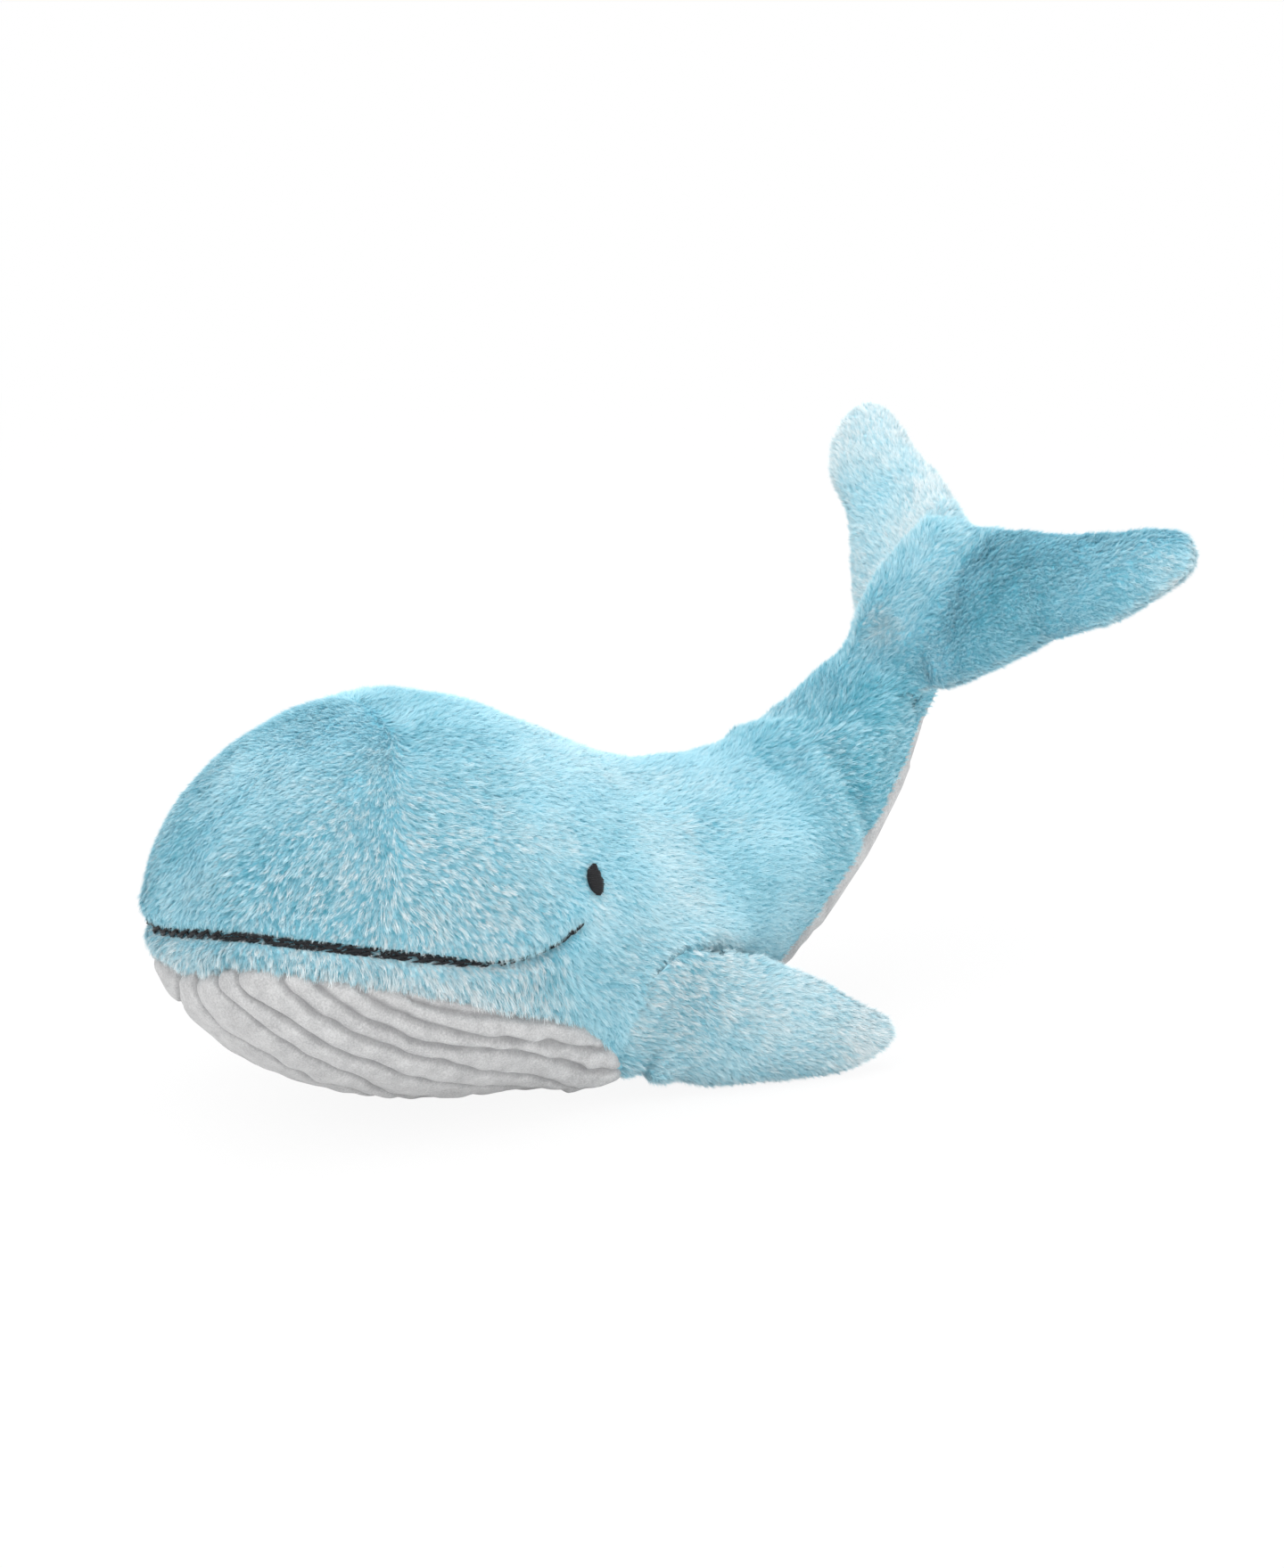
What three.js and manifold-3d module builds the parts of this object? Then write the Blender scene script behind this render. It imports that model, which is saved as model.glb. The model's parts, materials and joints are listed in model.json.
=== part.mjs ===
import * as THREE from 'three';
import { mergeVertices } from 'three/addons/utils/BufferGeometryUtils.js';
import Module from 'manifold-3d';

const wasm = await Module();
wasm.setup();

// Stuffed whale, in millimetres: nose towards -X, left side towards -Y, belly resting on z = 0,
// origin on the floor under the middle of the belly
const bodyLength = 320;          // nose to the narrow end of the tail stock, along X
const bodyHeight = 151;          // crown of the head above the floor
const bodyWidth = 138;           // across the cheeks
const noseReach = 131;           // nose tip ahead of the origin
const restDepth = 0.5;           // how far the floor flattens the belly
const coverThickness = 3.2;      // fur or velour with its backing
const packedGap = 0.3;           // filling to cover, embroidery to cover
const seamGap = 0.4;             // between two panels that are sewn edge to edge
const overrun = 20;              // how far a cutter reaches past what it cuts
const bodySides = 26;
const coreSides = 14;

// Mouth, eyes and ribs
const mouthThread = 2.4;         // width of the embroidered mouth line
const mouthGroove = 4;           // width of the crease that it lies in
const mouthSteps = 30;
const eyeHeight = 12;
const eyeWidth = 7;
const eyeBulge = 2.4;            // thickness of the satin stitch
const eyeFromNose = 131;
const eyeAboveFloor = 92;
const ribPitch = 13;             // between two sewn channels of the throat, along the cloth
const ribGrooveCount = 6;        // channels on each side of the middle rib
const channelDepth = 2.2;        // how far a sewn groove is drawn in
const crestShare = 0.28;         // edge of a rib's crest from its middle, over the pitch
const sewnShare = 0.5;           // sewn line between two ribs, over the pitch
const ribbedRoomShare = 0.8;     // most of a section's half girth that the ribs may take
const firstChannelIndex = 3;     // stations between which the channels are sewn
const lastChannelIndex = 11;
const upperSides = 8;            // sides of the ribbed form above its ribs

// Pellet pouch in the belly
const pouchLength = 96;
const pouchWidth = 68;
const pouchHeight = 28;
const pouchFromNose = 118;
const pouchSlumpShare = 0.3;     // how far its middle hangs below half its height

// Pectoral fins
const finLength = 92;
const finChord = 54;
const finThickness = 26;
const finFromNose = 169;
const finAboveFloor = 33;
const finInset = 8;              // middle of the root inside the flank
const finSplayDegrees = 14;      // out from the body's line
const finDroopDegrees = 10;      // down towards the tip
const finInwardDegrees = 8;      // how far the fin can press towards the flank
const finSides = 16;

// Tail flukes
const flukeSpan = 222;           // tip to tip
const flukeChord = 64;           // front to back at the root
const flukeThickness = 26;
const flukeRiseDegrees = 54;     // how far the flukes stand up from level
const flukeRootFromNose = 295;
const flukeRootAboveFloor = 122;
const flukePivotOut = 20;        // flex line out from the middle of the tail
const flukePivotStart = 3;       // where the flex line starts behind the narrow of the tail
const flukeSides = 16;

// Flex knuckles: a round end that turns in a hollow of the same centre
const knuckleGap = 0.8;
const knuckleFullnessShare = 1.02;   // radius over the half height that it rounds
const knuckleSides = 24;
const tailHingeIndex = 13;       // station where the tail bends

// Side outline, one row for each station from the nose to the tail: top x, top z, bottom x and
// bottom z as shares of body length and height, half width as a share of half the body width,
// and how square the belly's section is, where 2 is an ellipse
const stationShares = [
  [0.000, 0.510, 0.000, 0.510, 0.00, 2.0],
  [0.003, 0.589, 0.003, 0.430, 0.29, 2.1],
  [0.013, 0.675, 0.013, 0.351, 0.52, 2.2],
  [0.034, 0.762, 0.034, 0.272, 0.68, 2.2],
  [0.069, 0.841, 0.069, 0.192, 0.81, 2.3],
  [0.122, 0.921, 0.122, 0.119, 0.91, 2.3],
  [0.197, 0.980, 0.197, 0.053, 0.97, 2.4],
  [0.291, 1.000, 0.284, 0.013, 1.00, 2.5],
  [0.384, 0.974, 0.378, 0.000, 0.99, 2.6],
  [0.472, 0.894, 0.472, 0.000, 0.93, 2.6],
  [0.547, 0.801, 0.559, 0.013, 0.84, 2.5],
  [0.613, 0.742, 0.647, 0.060, 0.74, 2.5],
  [0.672, 0.715, 0.728, 0.132, 0.65, 2.4],
  [0.731, 0.722, 0.803, 0.232, 0.57, 2.2],
  [0.787, 0.775, 0.872, 0.371, 0.49, 2.1],
  [0.834, 0.848, 0.928, 0.523, 0.42, 2.0],
  [0.869, 0.927, 0.969, 0.662, 0.35, 2.0],
  [0.897, 1.013, 1.000, 0.801, 0.30, 2.0],
  [0.938, 1.113, 1.028, 0.960, 0.29, 2.0],
  [0.981, 1.192, 1.050, 1.086, 0.23, 2.0],
];
const notchShares = [1.022, 1.18];           // notch between the flukes, x and z
const skinStations = [0.35, 1, 1.6, 2.3, 3, 4, 5, 6, 7, 8, 9, 10, 11, 12, 13, 14, 15, 16, 17.5, 19];
const coreStations = [2, 3, 5, 7, 8.5, 10, 11, 12, 13, 14, 15.2];

// Mouth line from the middle of the snout to its corner, x and z
const mouthShares = [
  [0.000, 0.527], [0.010, 0.552], [0.050, 0.576], [0.117, 0.555], [0.196, 0.510],
  [0.283, 0.463], [0.351, 0.474], [0.395, 0.520],
];
// Seam of the white panel from the snout to the tail stock, x and z
const seamShares = [
  [-0.10, 0.440], [0.000, 0.445], [0.020, 0.478], [0.0675, 0.488], [0.167, 0.442], [0.285, 0.358],
  [0.413, 0.268], [0.503, 0.190], [0.597, 0.139], [0.675, 0.146], [0.738, 0.205], [0.794, 0.291],
  [0.863, 0.421], [0.916, 0.566], [0.956, 0.695], [1.000, 0.805], [1.2, 0.86],
];
const lipEndShares = [0.45, 0.15];           // where the lip band runs out, x and z

// Fin: place along the fin, half chord, half thickness, and rake in degrees
const finShares = [
  [-0.06, 0.70, 0.55, 24], [0.00, 0.95, 0.85, 24], [0.15, 1.00, 1.00, 22], [0.35, 0.97, 1.00, 18],
  [0.55, 0.84, 0.92, 14], [0.75, 0.65, 0.77, 10], [0.90, 0.43, 0.62, 6], [0.97, 0.26, 0.38, 4],
];
// Fluke: place across the half span, place along the chord, half chord, half thickness, and droop
const flukeShares = [
  [-0.05, 0.50, 0.97, 0.96, 0.00], [0.18, 0.56, 1.03, 1.00, 0.00], [0.36, 0.69, 0.94, 1.00, 0.04],
  [0.56, 0.89, 0.80, 1.00, 0.15], [0.76, 1.12, 0.66, 0.92, 0.31], [0.88, 1.30, 0.53, 0.77, 0.42],
  [0.96, 1.41, 0.34, 0.58, 0.50],
];
const flukeTipShares = [1.00, 1.45, 0, 0, 0.54];

// Vectors and placed shapes
const vector = (x, y, z) => new THREE.Vector3(x, y, z);
const radians = THREE.MathUtils.degToRad;
const sideAxis = vector(0, 1, 0);

function bodyPlace([xShare, zShare]) {
  return vector(xShare * bodyLength - noseReach, 0, zShare * bodyHeight - restDepth);
}

function alignedTo(geometry, origin, xAxis, yAxis, zAxis) {
  const matrix = new THREE.Matrix4().makeBasis(xAxis, yAxis, zAxis).setPosition(origin);
  return geometry.applyMatrix4(matrix);
}

// Closed bodies for joining and cutting
function solid(geometry) {
  const bare = geometry.clone();
  for (const name of Object.keys(bare.attributes)) {
    if (name !== 'position') bare.deleteAttribute(name);
  }
  const merged = mergeVertices(bare);
  return new wasm.Manifold(new wasm.Mesh({
    numProp: 3,
    vertProperties: new Float32Array(merged.attributes.position.array),
    triVerts: new Uint32Array(merged.index.array),
  }));
}

function meshGeometry(body) {
  const mesh = body.getMesh();
  const geometry = new THREE.BufferGeometry();
  geometry.setAttribute('position', new THREE.BufferAttribute(mesh.vertProperties, mesh.numProp));
  geometry.setIndex(new THREE.BufferAttribute(mesh.triVerts, 1));
  geometry.computeVertexNormals();
  return geometry;
}

// Largest closed body of a cut, without the slivers that a curved cut leaves
function mainBody(body) {
  return body.decompose().sort((a, b) => b.volume() - a.volume())[0];
}

function loft(rings, startTip, endTip) {
  const size = rings[0].length;
  const points = [startTip, ...rings.flat(), endTip];
  const index = [];
  const at = (row, i) => 1 + row * size + (i % size);
  for (let i = 0; i < size; i += 1) {
    index.push(0, at(0, i), at(0, i + 1));
    index.push(points.length - 1, at(rings.length - 1, i + 1), at(rings.length - 1, i));
    for (let row = 0; row + 1 < rings.length; row += 1) {
      index.push(at(row, i), at(row + 1, i), at(row + 1, i + 1));
      index.push(at(row, i), at(row + 1, i + 1), at(row, i + 1));
    }
  }
  const geometry = new THREE.BufferGeometry();
  const places = points.flatMap((point) => point.toArray());
  geometry.setAttribute('position', new THREE.Float32BufferAttribute(places, 3));
  geometry.setIndex(index);
  const body = solid(geometry);
  if (body.volume() > 0) return body;
  geometry.setIndex(index.reverse());
  return solid(geometry);
}

function ring(sides, pointAt) {
  return Array.from({ length: sides }, (_, i) => pointAt((i / sides) * 2 * Math.PI));
}

// Body form: sections that stand square to the back and belly lines
const topLine = new THREE.CatmullRomCurve3(stationShares.map((row) => bodyPlace(row)));
const bottomLine = new THREE.CatmullRomCurve3(stationShares.map((row) => bodyPlace(row.slice(2))));
const widthLine = new THREE.CatmullRomCurve3(
  stationShares.map((row) => vector(row[4] * bodyWidth / 2, row[5], 0)));

function sectionAt(station, inset = 0) {
  const t = station / (stationShares.length - 1);
  const top = topLine.getPoint(t);
  const bottom = bottomLine.getPoint(t);
  const up = top.clone().sub(bottom);
  const width = widthLine.getPoint(t);
  return {
    centre: top.clone().add(bottom).multiplyScalar(0.5),
    halfHeight: up.length() / 2 - inset,
    halfWidth: width.x - inset,
    bellyPower: width.y,
    up: up.normalize(),
  };
}

function sectionPoint(section, angle) {
  const power = Math.sin(angle) < 0 ? section.bellyPower : 2;
  const bent = (value) => Math.sign(value) * Math.abs(value) ** (2 / power);
  return section.centre.clone()
    .addScaledVector(section.up, bent(Math.sin(angle)) * section.halfHeight)
    .addScaledVector(sideAxis, bent(Math.cos(angle)) * section.halfWidth);
}

function bodyForm(stations, sides, inset, startTip, endTip) {
  const rings = stations.map((station) => {
    const section = sectionAt(station, inset);
    return ring(sides, (angle) => sectionPoint(section, angle));
  });
  return loft(rings, startTip, endTip);
}

function skinForm(inset = 0) {
  return bodyForm(skinStations, bodySides, inset, bodyPlace(stationShares[0]), bodyPlace(notchShares));
}

function coreForm(inset) {
  const start = sectionAt(coreStations[0]).centre;
  const end = sectionAt(coreStations[coreStations.length - 1]).centre;
  return bodyForm(coreStations, coreSides, inset, start, end);
}

// Station whose section stands at a given x on the body's mid line
function stationAtX(x) {
  let low = 0;
  let high = stationShares.length - 1;
  for (let i = 0; i < 40; i += 1) {
    const middle = (low + high) / 2;
    if (sectionAt(middle).centre.x < x) low = middle;
    else high = middle;
  }
  return low;
}

// Point of the skin on one side at a given height
function skinPointAt(section, side, z) {
  let low = -Math.PI / 2;
  let high = Math.PI / 2;
  for (let i = 0; i < 40; i += 1) {
    const middle = (low + high) / 2;
    if (sectionPoint(section, middle).z < z) low = middle;
    else high = middle;
  }
  const point = sectionPoint(section, low);
  return vector(point.x, side * point.y, point.z);
}

// Angle on a section at a distance along the cloth from the middle of the belly
function clothAngle(section, distance) {
  let angle = -Math.PI / 2;
  let run = 0;
  while (run < distance && angle < Math.PI / 2) {
    const point = sectionPoint(section, angle);
    angle += radians(1);
    run += sectionPoint(section, angle).distanceTo(point);
  }
  return angle;
}

function clothRoom(section) {
  const points = ring(180, (turn) => sectionPoint(section, turn));
  return points.reduce((run, point, i) => run + point.distanceTo(points[(i + 1) % points.length]), 0) / 2;
}

// Places across one side of the ribbed cloth: crest edges, and the sewn groove between two ribs
const ribShares = [];
for (let rib = 0; rib <= ribGrooveCount; rib += 1) {
  if (rib > 0) ribShares.push({ across: rib - crestShare, drawnIn: false });
  ribShares.push({ across: rib + crestShare, drawnIn: false });
  if (rib < ribGrooveCount) ribShares.push({ across: rib + sewnShare, drawnIn: true });
}
const ribbedWidth = ribShares[ribShares.length - 1].across * ribPitch;

function ribbedRing(station, inset) {
  const section = sectionAt(station, inset);
  const squeeze = Math.min(1, (clothRoom(section) * ribbedRoomShare) / ribbedWidth);
  const isSewn = station >= firstChannelIndex && station <= lastChannelIndex;
  const angles = ribShares.map(({ across }) => clothAngle(section, across * ribPitch * squeeze));
  const right = ribShares.map(({ drawnIn }, i) => {
    const point = sectionPoint(section, angles[i]);
    const inward = section.centre.clone().sub(point).normalize();
    return point.addScaledVector(inward, isSewn && drawnIn ? channelDepth : 0);
  });
  const last = angles[angles.length - 1];
  const upper = Array.from({ length: upperSides - 1 }, (_, i) => {
    const turn = last + ((i + 1) / upperSides) * (Math.PI - 2 * last);
    return sectionPoint(section, turn);
  });
  const left = right.map((point) => vector(point.x, -point.y, point.z)).reverse();
  return [...right, ...upper, ...left];
}

function ribbedForm(inset = 0) {
  const rings = skinStations.map((station) => ribbedRing(station, inset));
  return loft(rings, bodyPlace(stationShares[0]), bodyPlace(notchShares));
}

// Curves in the side view, and the space below them
const sideCurve = (shares) => new THREE.CatmullRomCurve3(shares.map(bodyPlace));

function heightOn(curvePoints, x) {
  const next = Math.max(1, curvePoints.findIndex((point) => point.x > x));
  const [a, b] = [curvePoints[next - 1], curvePoints[next]];
  return a.z + ((x - a.x) / (b.x - a.x)) * (b.z - a.z);
}

function sideSlab(points) {
  const shape = new THREE.Shape(points.map((point) => new THREE.Vector2(point.x, point.z)));
  const slab = new THREE.ExtrudeGeometry(shape, { depth: bodyWidth + 2 * overrun, bevelEnabled: false });
  slab.rotateX(Math.PI / 2);
  slab.translate(0, bodyWidth / 2 + overrun, 0);
  return solid(slab);
}

function shifted(body, x, z) {
  return body.translate([x, 0, z]);
}

const mouthPoints = sideCurve(mouthShares).getPoints(24);
const seamPoints = sideCurve(seamShares).getPoints(48);
const farBelow = -bodyHeight / 2;

function bellySpace() {
  const [first, last] = [seamPoints[0], seamPoints[seamPoints.length - 1]];
  return sideSlab([...seamPoints, vector(last.x, 0, farBelow), vector(first.x, 0, farBelow)]);
}

function lipSpace() {
  const front = vector(mouthPoints[0].x - overrun, 0, mouthPoints[0].z);
  const end = bodyPlace(lipEndShares);
  return sideSlab([front, ...mouthPoints, end, vector(end.x, 0, farBelow), vector(front.x, 0, farBelow)]);
}

// Mouth path round the snout, from the left corner to the right one
function mouthPath() {
  const half = [];
  const steps = 16;
  const corner = mouthPoints[mouthPoints.length - 1];
  const cornerStation = stationAtX(corner.x);
  for (let i = steps; i > 0; i -= 1) {
    const section = sectionAt(cornerStation * (i / steps));
    half.push(skinPointAt(section, -1, heightOn(mouthPoints, section.centre.x)));
  }
  const mirrored = half.map((point) => vector(point.x, -point.y, point.z)).reverse();
  return new THREE.CatmullRomCurve3([...half, bodyPlace(stationShares[0]), ...mirrored]);
}

function tubeAlong(path, width, sides, steps) {
  const corner = (angle) => new THREE.Vector2(Math.cos(angle), Math.sin(angle)).multiplyScalar(width / 2);
  const shape = new THREE.Shape(ring(sides, corner));
  return solid(new THREE.ExtrudeGeometry(shape, { steps, extrudePath: path, bevelEnabled: false }));
}

// Flex knuckles
function knuckleSpace(pivot, axis, outward, radius, length, gap) {
  const up = vector(0, 0, 0).crossVectors(outward, axis).normalize();
  const middle = pivot.clone().addScaledVector(axis, length / 2 - gap);
  const drum = new THREE.CylinderGeometry(radius + gap, radius + gap, length, knuckleSides);
  const reach = bodyLength;
  const block = new THREE.BoxGeometry(reach, length, reach);
  block.translate(reach / 2, 0, 0);
  const parts = [drum, block].map((shape) => solid(alignedTo(shape, middle, outward, axis, up)));
  return parts[0].add(parts[1]);
}

const hingeSection = sectionAt(tailHingeIndex);
const hingeOutward = vector(0, 0, 0).crossVectors(sideAxis, hingeSection.up).normalize();
const hingeRadius = hingeSection.halfHeight * knuckleFullnessShare;

function tailSpace(gap) {
  const width = bodyWidth + 2 * overrun;
  const pivot = hingeSection.centre.clone().addScaledVector(sideAxis, -width / 2 + gap);
  return knuckleSpace(pivot, sideAxis, hingeOutward, hingeRadius, width, gap);
}

const flukeAlong = vector(Math.cos(radians(flukeRiseDegrees)), 0, Math.sin(radians(flukeRiseDegrees)));
const flukeUp = vector(-Math.sin(radians(flukeRiseDegrees)), 0, Math.cos(radians(flukeRiseDegrees)));
const flukeRoot = vector(flukeRootFromNose - noseReach, 0, flukeRootAboveFloor);
const flukeRadius = (flukeThickness / 2) * knuckleFullnessShare;

function flukePivot(side) {
  return flukeRoot.clone().addScaledVector(flukeAlong, flukePivotStart)
    .addScaledVector(sideAxis, side * flukePivotOut);
}

function flukeSpace(side, gap) {
  const outward = sideAxis.clone().multiplyScalar(side);
  return knuckleSpace(flukePivot(side), flukeAlong, outward, flukeRadius, flukeSpan, gap);
}

// Flukes and fins
function flukePlace([across, along, , , droop], side) {
  return flukeRoot.clone().addScaledVector(flukeAlong, along * flukeChord)
    .addScaledVector(flukeUp, -droop * flukeThickness)
    .addScaledVector(sideAxis, side * across * flukeSpan / 2);
}

function flukeForm(side) {
  const centres = flukeShares.map((row) => flukePlace(row, side));
  const rings = flukeShares.map(([, , chord, thickness], i) => {
    const ahead = centres[Math.min(i + 1, centres.length - 1)];
    const spine = ahead.clone().sub(centres[Math.max(i - 1, 0)]).normalize();
    const across = vector(0, 0, 0).crossVectors(flukeUp, spine).normalize();
    const up = vector(0, 0, 0).crossVectors(spine, across);
    return ring(flukeSides, (angle) => centres[i].clone()
      .addScaledVector(across, Math.cos(angle) * chord * flukeChord / 2)
      .addScaledVector(up, Math.sin(angle) * thickness * flukeThickness / 2));
  });
  return loft(rings, centres[0], flukePlace(flukeTipShares, side));
}

function finFrame(side) {
  const section = sectionAt(stationAtX(finFromNose - noseReach));
  const skin = skinPointAt(section, side, finAboveFloor);
  const [splay, droop] = [radians(finSplayDegrees), radians(finDroopDegrees)];
  const along = vector(Math.cos(splay), side * Math.sin(splay), -Math.tan(droop)).normalize();
  return { skin, along, root: skin.clone().addScaledVector(sideAxis, -side * finInset) };
}

function finUp(rake) {
  return vector(Math.sin(radians(rake)), 0, Math.cos(radians(rake)));
}

function finForm(side) {
  const { root, along } = finFrame(side);
  const rings = finShares.map(([share, chord, thickness, rake]) => {
    const centre = root.clone().addScaledVector(along, share * finLength);
    const up = finUp(rake);
    const out = vector(0, 0, 0).crossVectors(along, up).normalize();
    return ring(finSides, (angle) => centre.clone()
      .addScaledVector(up, Math.sin(angle) * chord * finChord / 2)
      .addScaledVector(out, Math.cos(angle) * thickness * finThickness / 2));
  });
  const front = root.clone().addScaledVector(along, finShares[0][0] * finLength);
  return loft(rings, front, root.clone().addScaledVector(along, finLength));
}

// Flex line of a fin: the front of its seam, where the fin leaves the flank
function finHinge(side) {
  const { skin, along } = finFrame(side);
  const [frontShare, , , rake] = finShares[0];
  return { point: skin.clone().addScaledVector(along, frontShare * finLength), axis: finUp(rake) };
}

function turnedAbout(body, point, axis, degrees) {
  const turn = new THREE.Matrix4().makeRotationAxis(axis, radians(degrees));
  const home = new THREE.Matrix4().makeTranslation(point.x, point.y, point.z);
  const back = new THREE.Matrix4().makeTranslation(-point.x, -point.y, -point.z);
  return body.transform(home.multiply(turn).multiply(back).elements);
}

function fin(side) {
  const { point, axis } = finHinge(side);
  const flank = skinForm(-packedGap).add(ribbedForm(-packedGap));
  const steps = [0, finInwardDegrees / 2, finInwardDegrees];
  const swept = steps.map((degrees) => turnedAbout(flank, point, axis, side * degrees));
  return mainBody(finForm(side).subtract(wasm.Manifold.union(swept)));
}

// Eyes
function eye(side, grown = 0) {
  const section = sectionAt(stationAtX(eyeFromNose - noseReach));
  const place = skinPointAt(section, side, eyeAboveFloor);
  const above = skinPointAt(section, side, eyeAboveFloor + eyeHeight / 2);
  const below = skinPointAt(section, side, eyeAboveFloor - eyeHeight / 2);
  const up = above.sub(below).normalize();
  const out = vector(0, 0, 0).crossVectors(up, vector(side, 0, 0)).normalize();
  const ahead = vector(0, 0, 0).crossVectors(up, out);
  const ball = new THREE.SphereGeometry(1, 14, 10);
  ball.scale(eyeWidth / 2 + grown, eyeBulge / 2 + grown, eyeHeight / 2 + grown);
  return solid(alignedTo(ball, place, ahead.negate(), out, up));
}

function pouchForm(grown) {
  const ball = new THREE.SphereGeometry(1, 20, 12);
  ball.scale(pouchLength / 2 + grown, pouchWidth / 2 + grown, pouchHeight / 2 + grown);
  const height = coverThickness + pouchHeight * (0.5 - pouchSlumpShare);
  ball.translate(pouchFromNose - noseReach, 0, height);
  return solid(ball);
}

function halfSpace(side) {
  const block = new THREE.BoxGeometry(2 * bodyLength, bodyWidth, 4 * bodyHeight);
  block.translate(0, side * (bodyWidth / 2 + seamGap / 2), 0);
  return solid(block);
}

function floorSpace() {
  const block = new THREE.BoxGeometry(3 * bodyLength, 3 * bodyWidth, bodyHeight);
  block.translate(0, 0, -bodyHeight / 2);
  return solid(block);
}

// Trunk covers, all cut from one thick skin
function trunkPieces() {
  const cutters = wasm.Manifold.union([tailSpace(knuckleGap), floorSpace(), coreForm(coverThickness)]);
  const shell = skinForm().subtract(cutters);
  const ribbed = ribbedForm().subtract(cutters);
  const belly = bellySpace();
  const groove = tubeAlong(mouthPath(), mouthGroove, 6, mouthSteps);
  const blue = shell.subtract(shifted(belly, -seamGap, seamGap)).subtract(groove);
  const lip = mainBody(blue.intersect(lipSpace()));
  const lipRoom = [-seamGap, seamGap].map((ahead) => shifted(lipSpace(), ahead, seamGap));
  const eyes = [-1, 1].map((side) => eye(side, packedGap));
  const upper = blue.subtract(wasm.Manifold.union([...lipRoom, ...eyes]));
  return {
    left_side_panel: mainBody(upper.intersect(halfSpace(-1))),
    right_side_panel: mainBody(upper.intersect(halfSpace(1))),
    lip_band: lip,
    belly_panel: mainBody(ribbed.intersect(belly)),
    mouth_line: tubeAlong(mouthPath(), mouthThread, 6, mouthSteps),
  };
}

function trunkFilling() {
  const core = coreForm(coverThickness + packedGap);
  const filling = core.intersect(shifted(core, packedGap, 0)).subtract(tailSpace(knuckleGap));
  return {
    body_filling: mainBody(filling.subtract(pouchForm(packedGap))),
    pellet_pouch: mainBody(filling.intersect(pouchForm(0))),
  };
}

function tailPieces() {
  const flukes = [-1, 1].map(flukeForm);
  const whole = wasm.Manifold.union([skinForm().intersect(tailSpace(0)), ...flukes]);
  const sockets = wasm.Manifold.union([-1, 1].map((side) => flukeSpace(side, knuckleGap)));
  const stock = mainBody(whole.subtract(sockets));
  const shell = stock.subtract(coreForm(coverThickness));
  const belly = bellySpace();
  const core = coreForm(coverThickness + packedGap);
  const filling = core.intersect(shifted(core, -packedGap, -packedGap));
  return {
    tail_cover: mainBody(shell.subtract(shifted(belly, -seamGap, seamGap))),
    tail_belly_strip: mainBody(shell.intersect(belly)),
    tail_filling: mainBody(filling.intersect(tailSpace(0))),
    left_fluke: mainBody(whole.intersect(flukeSpace(-1, 0))),
    right_fluke: mainBody(whole.intersect(flukeSpace(1, 0))),
  };
}

// Materials
function cloth(color, roughness) {
  return new THREE.MeshStandardMaterial({ color, roughness, metalness: 0 });
}
const blueFur = cloth(0x8fc9dc, 0.95);
const paleFur = cloth(0xa6d6e4, 0.95);
const whiteVelour = cloth(0xc4c4c6, 0.9);
const blackThread = cloth(0x23262b, 0.5);
const fibre = cloth(0xf2f2ee, 1);
const pouchCloth = cloth(0xd8d2c4, 0.9);

const materials = {
  left_side_panel: blueFur, right_side_panel: blueFur, lip_band: paleFur, belly_panel: whiteVelour,
  mouth_line: blackThread, left_eye: blackThread, right_eye: blackThread,
  body_filling: fibre, pellet_pouch: pouchCloth,
  tail_cover: blueFur, tail_belly_strip: whiteVelour, tail_filling: fibre,
  left_fluke: paleFur, right_fluke: paleFur, left_fin: paleFur, right_fin: paleFur,
};

const pieces = {
  ...trunkPieces(), ...trunkFilling(), ...tailPieces(),
  left_eye: eye(-1), right_eye: eye(1), left_fin: fin(-1), right_fin: fin(1),
};

const whale = new THREE.Group();
for (const [name, material] of Object.entries(materials)) {
  const mesh = new THREE.Mesh(meshGeometry(pieces[name]), material);
  mesh.name = name;
  whale.add(mesh);
}

export default whale;
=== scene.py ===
import json
import math

import bmesh
import bpy
import numpy as np
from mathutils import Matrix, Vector
from mathutils.bvhtree import BVHTree

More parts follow.
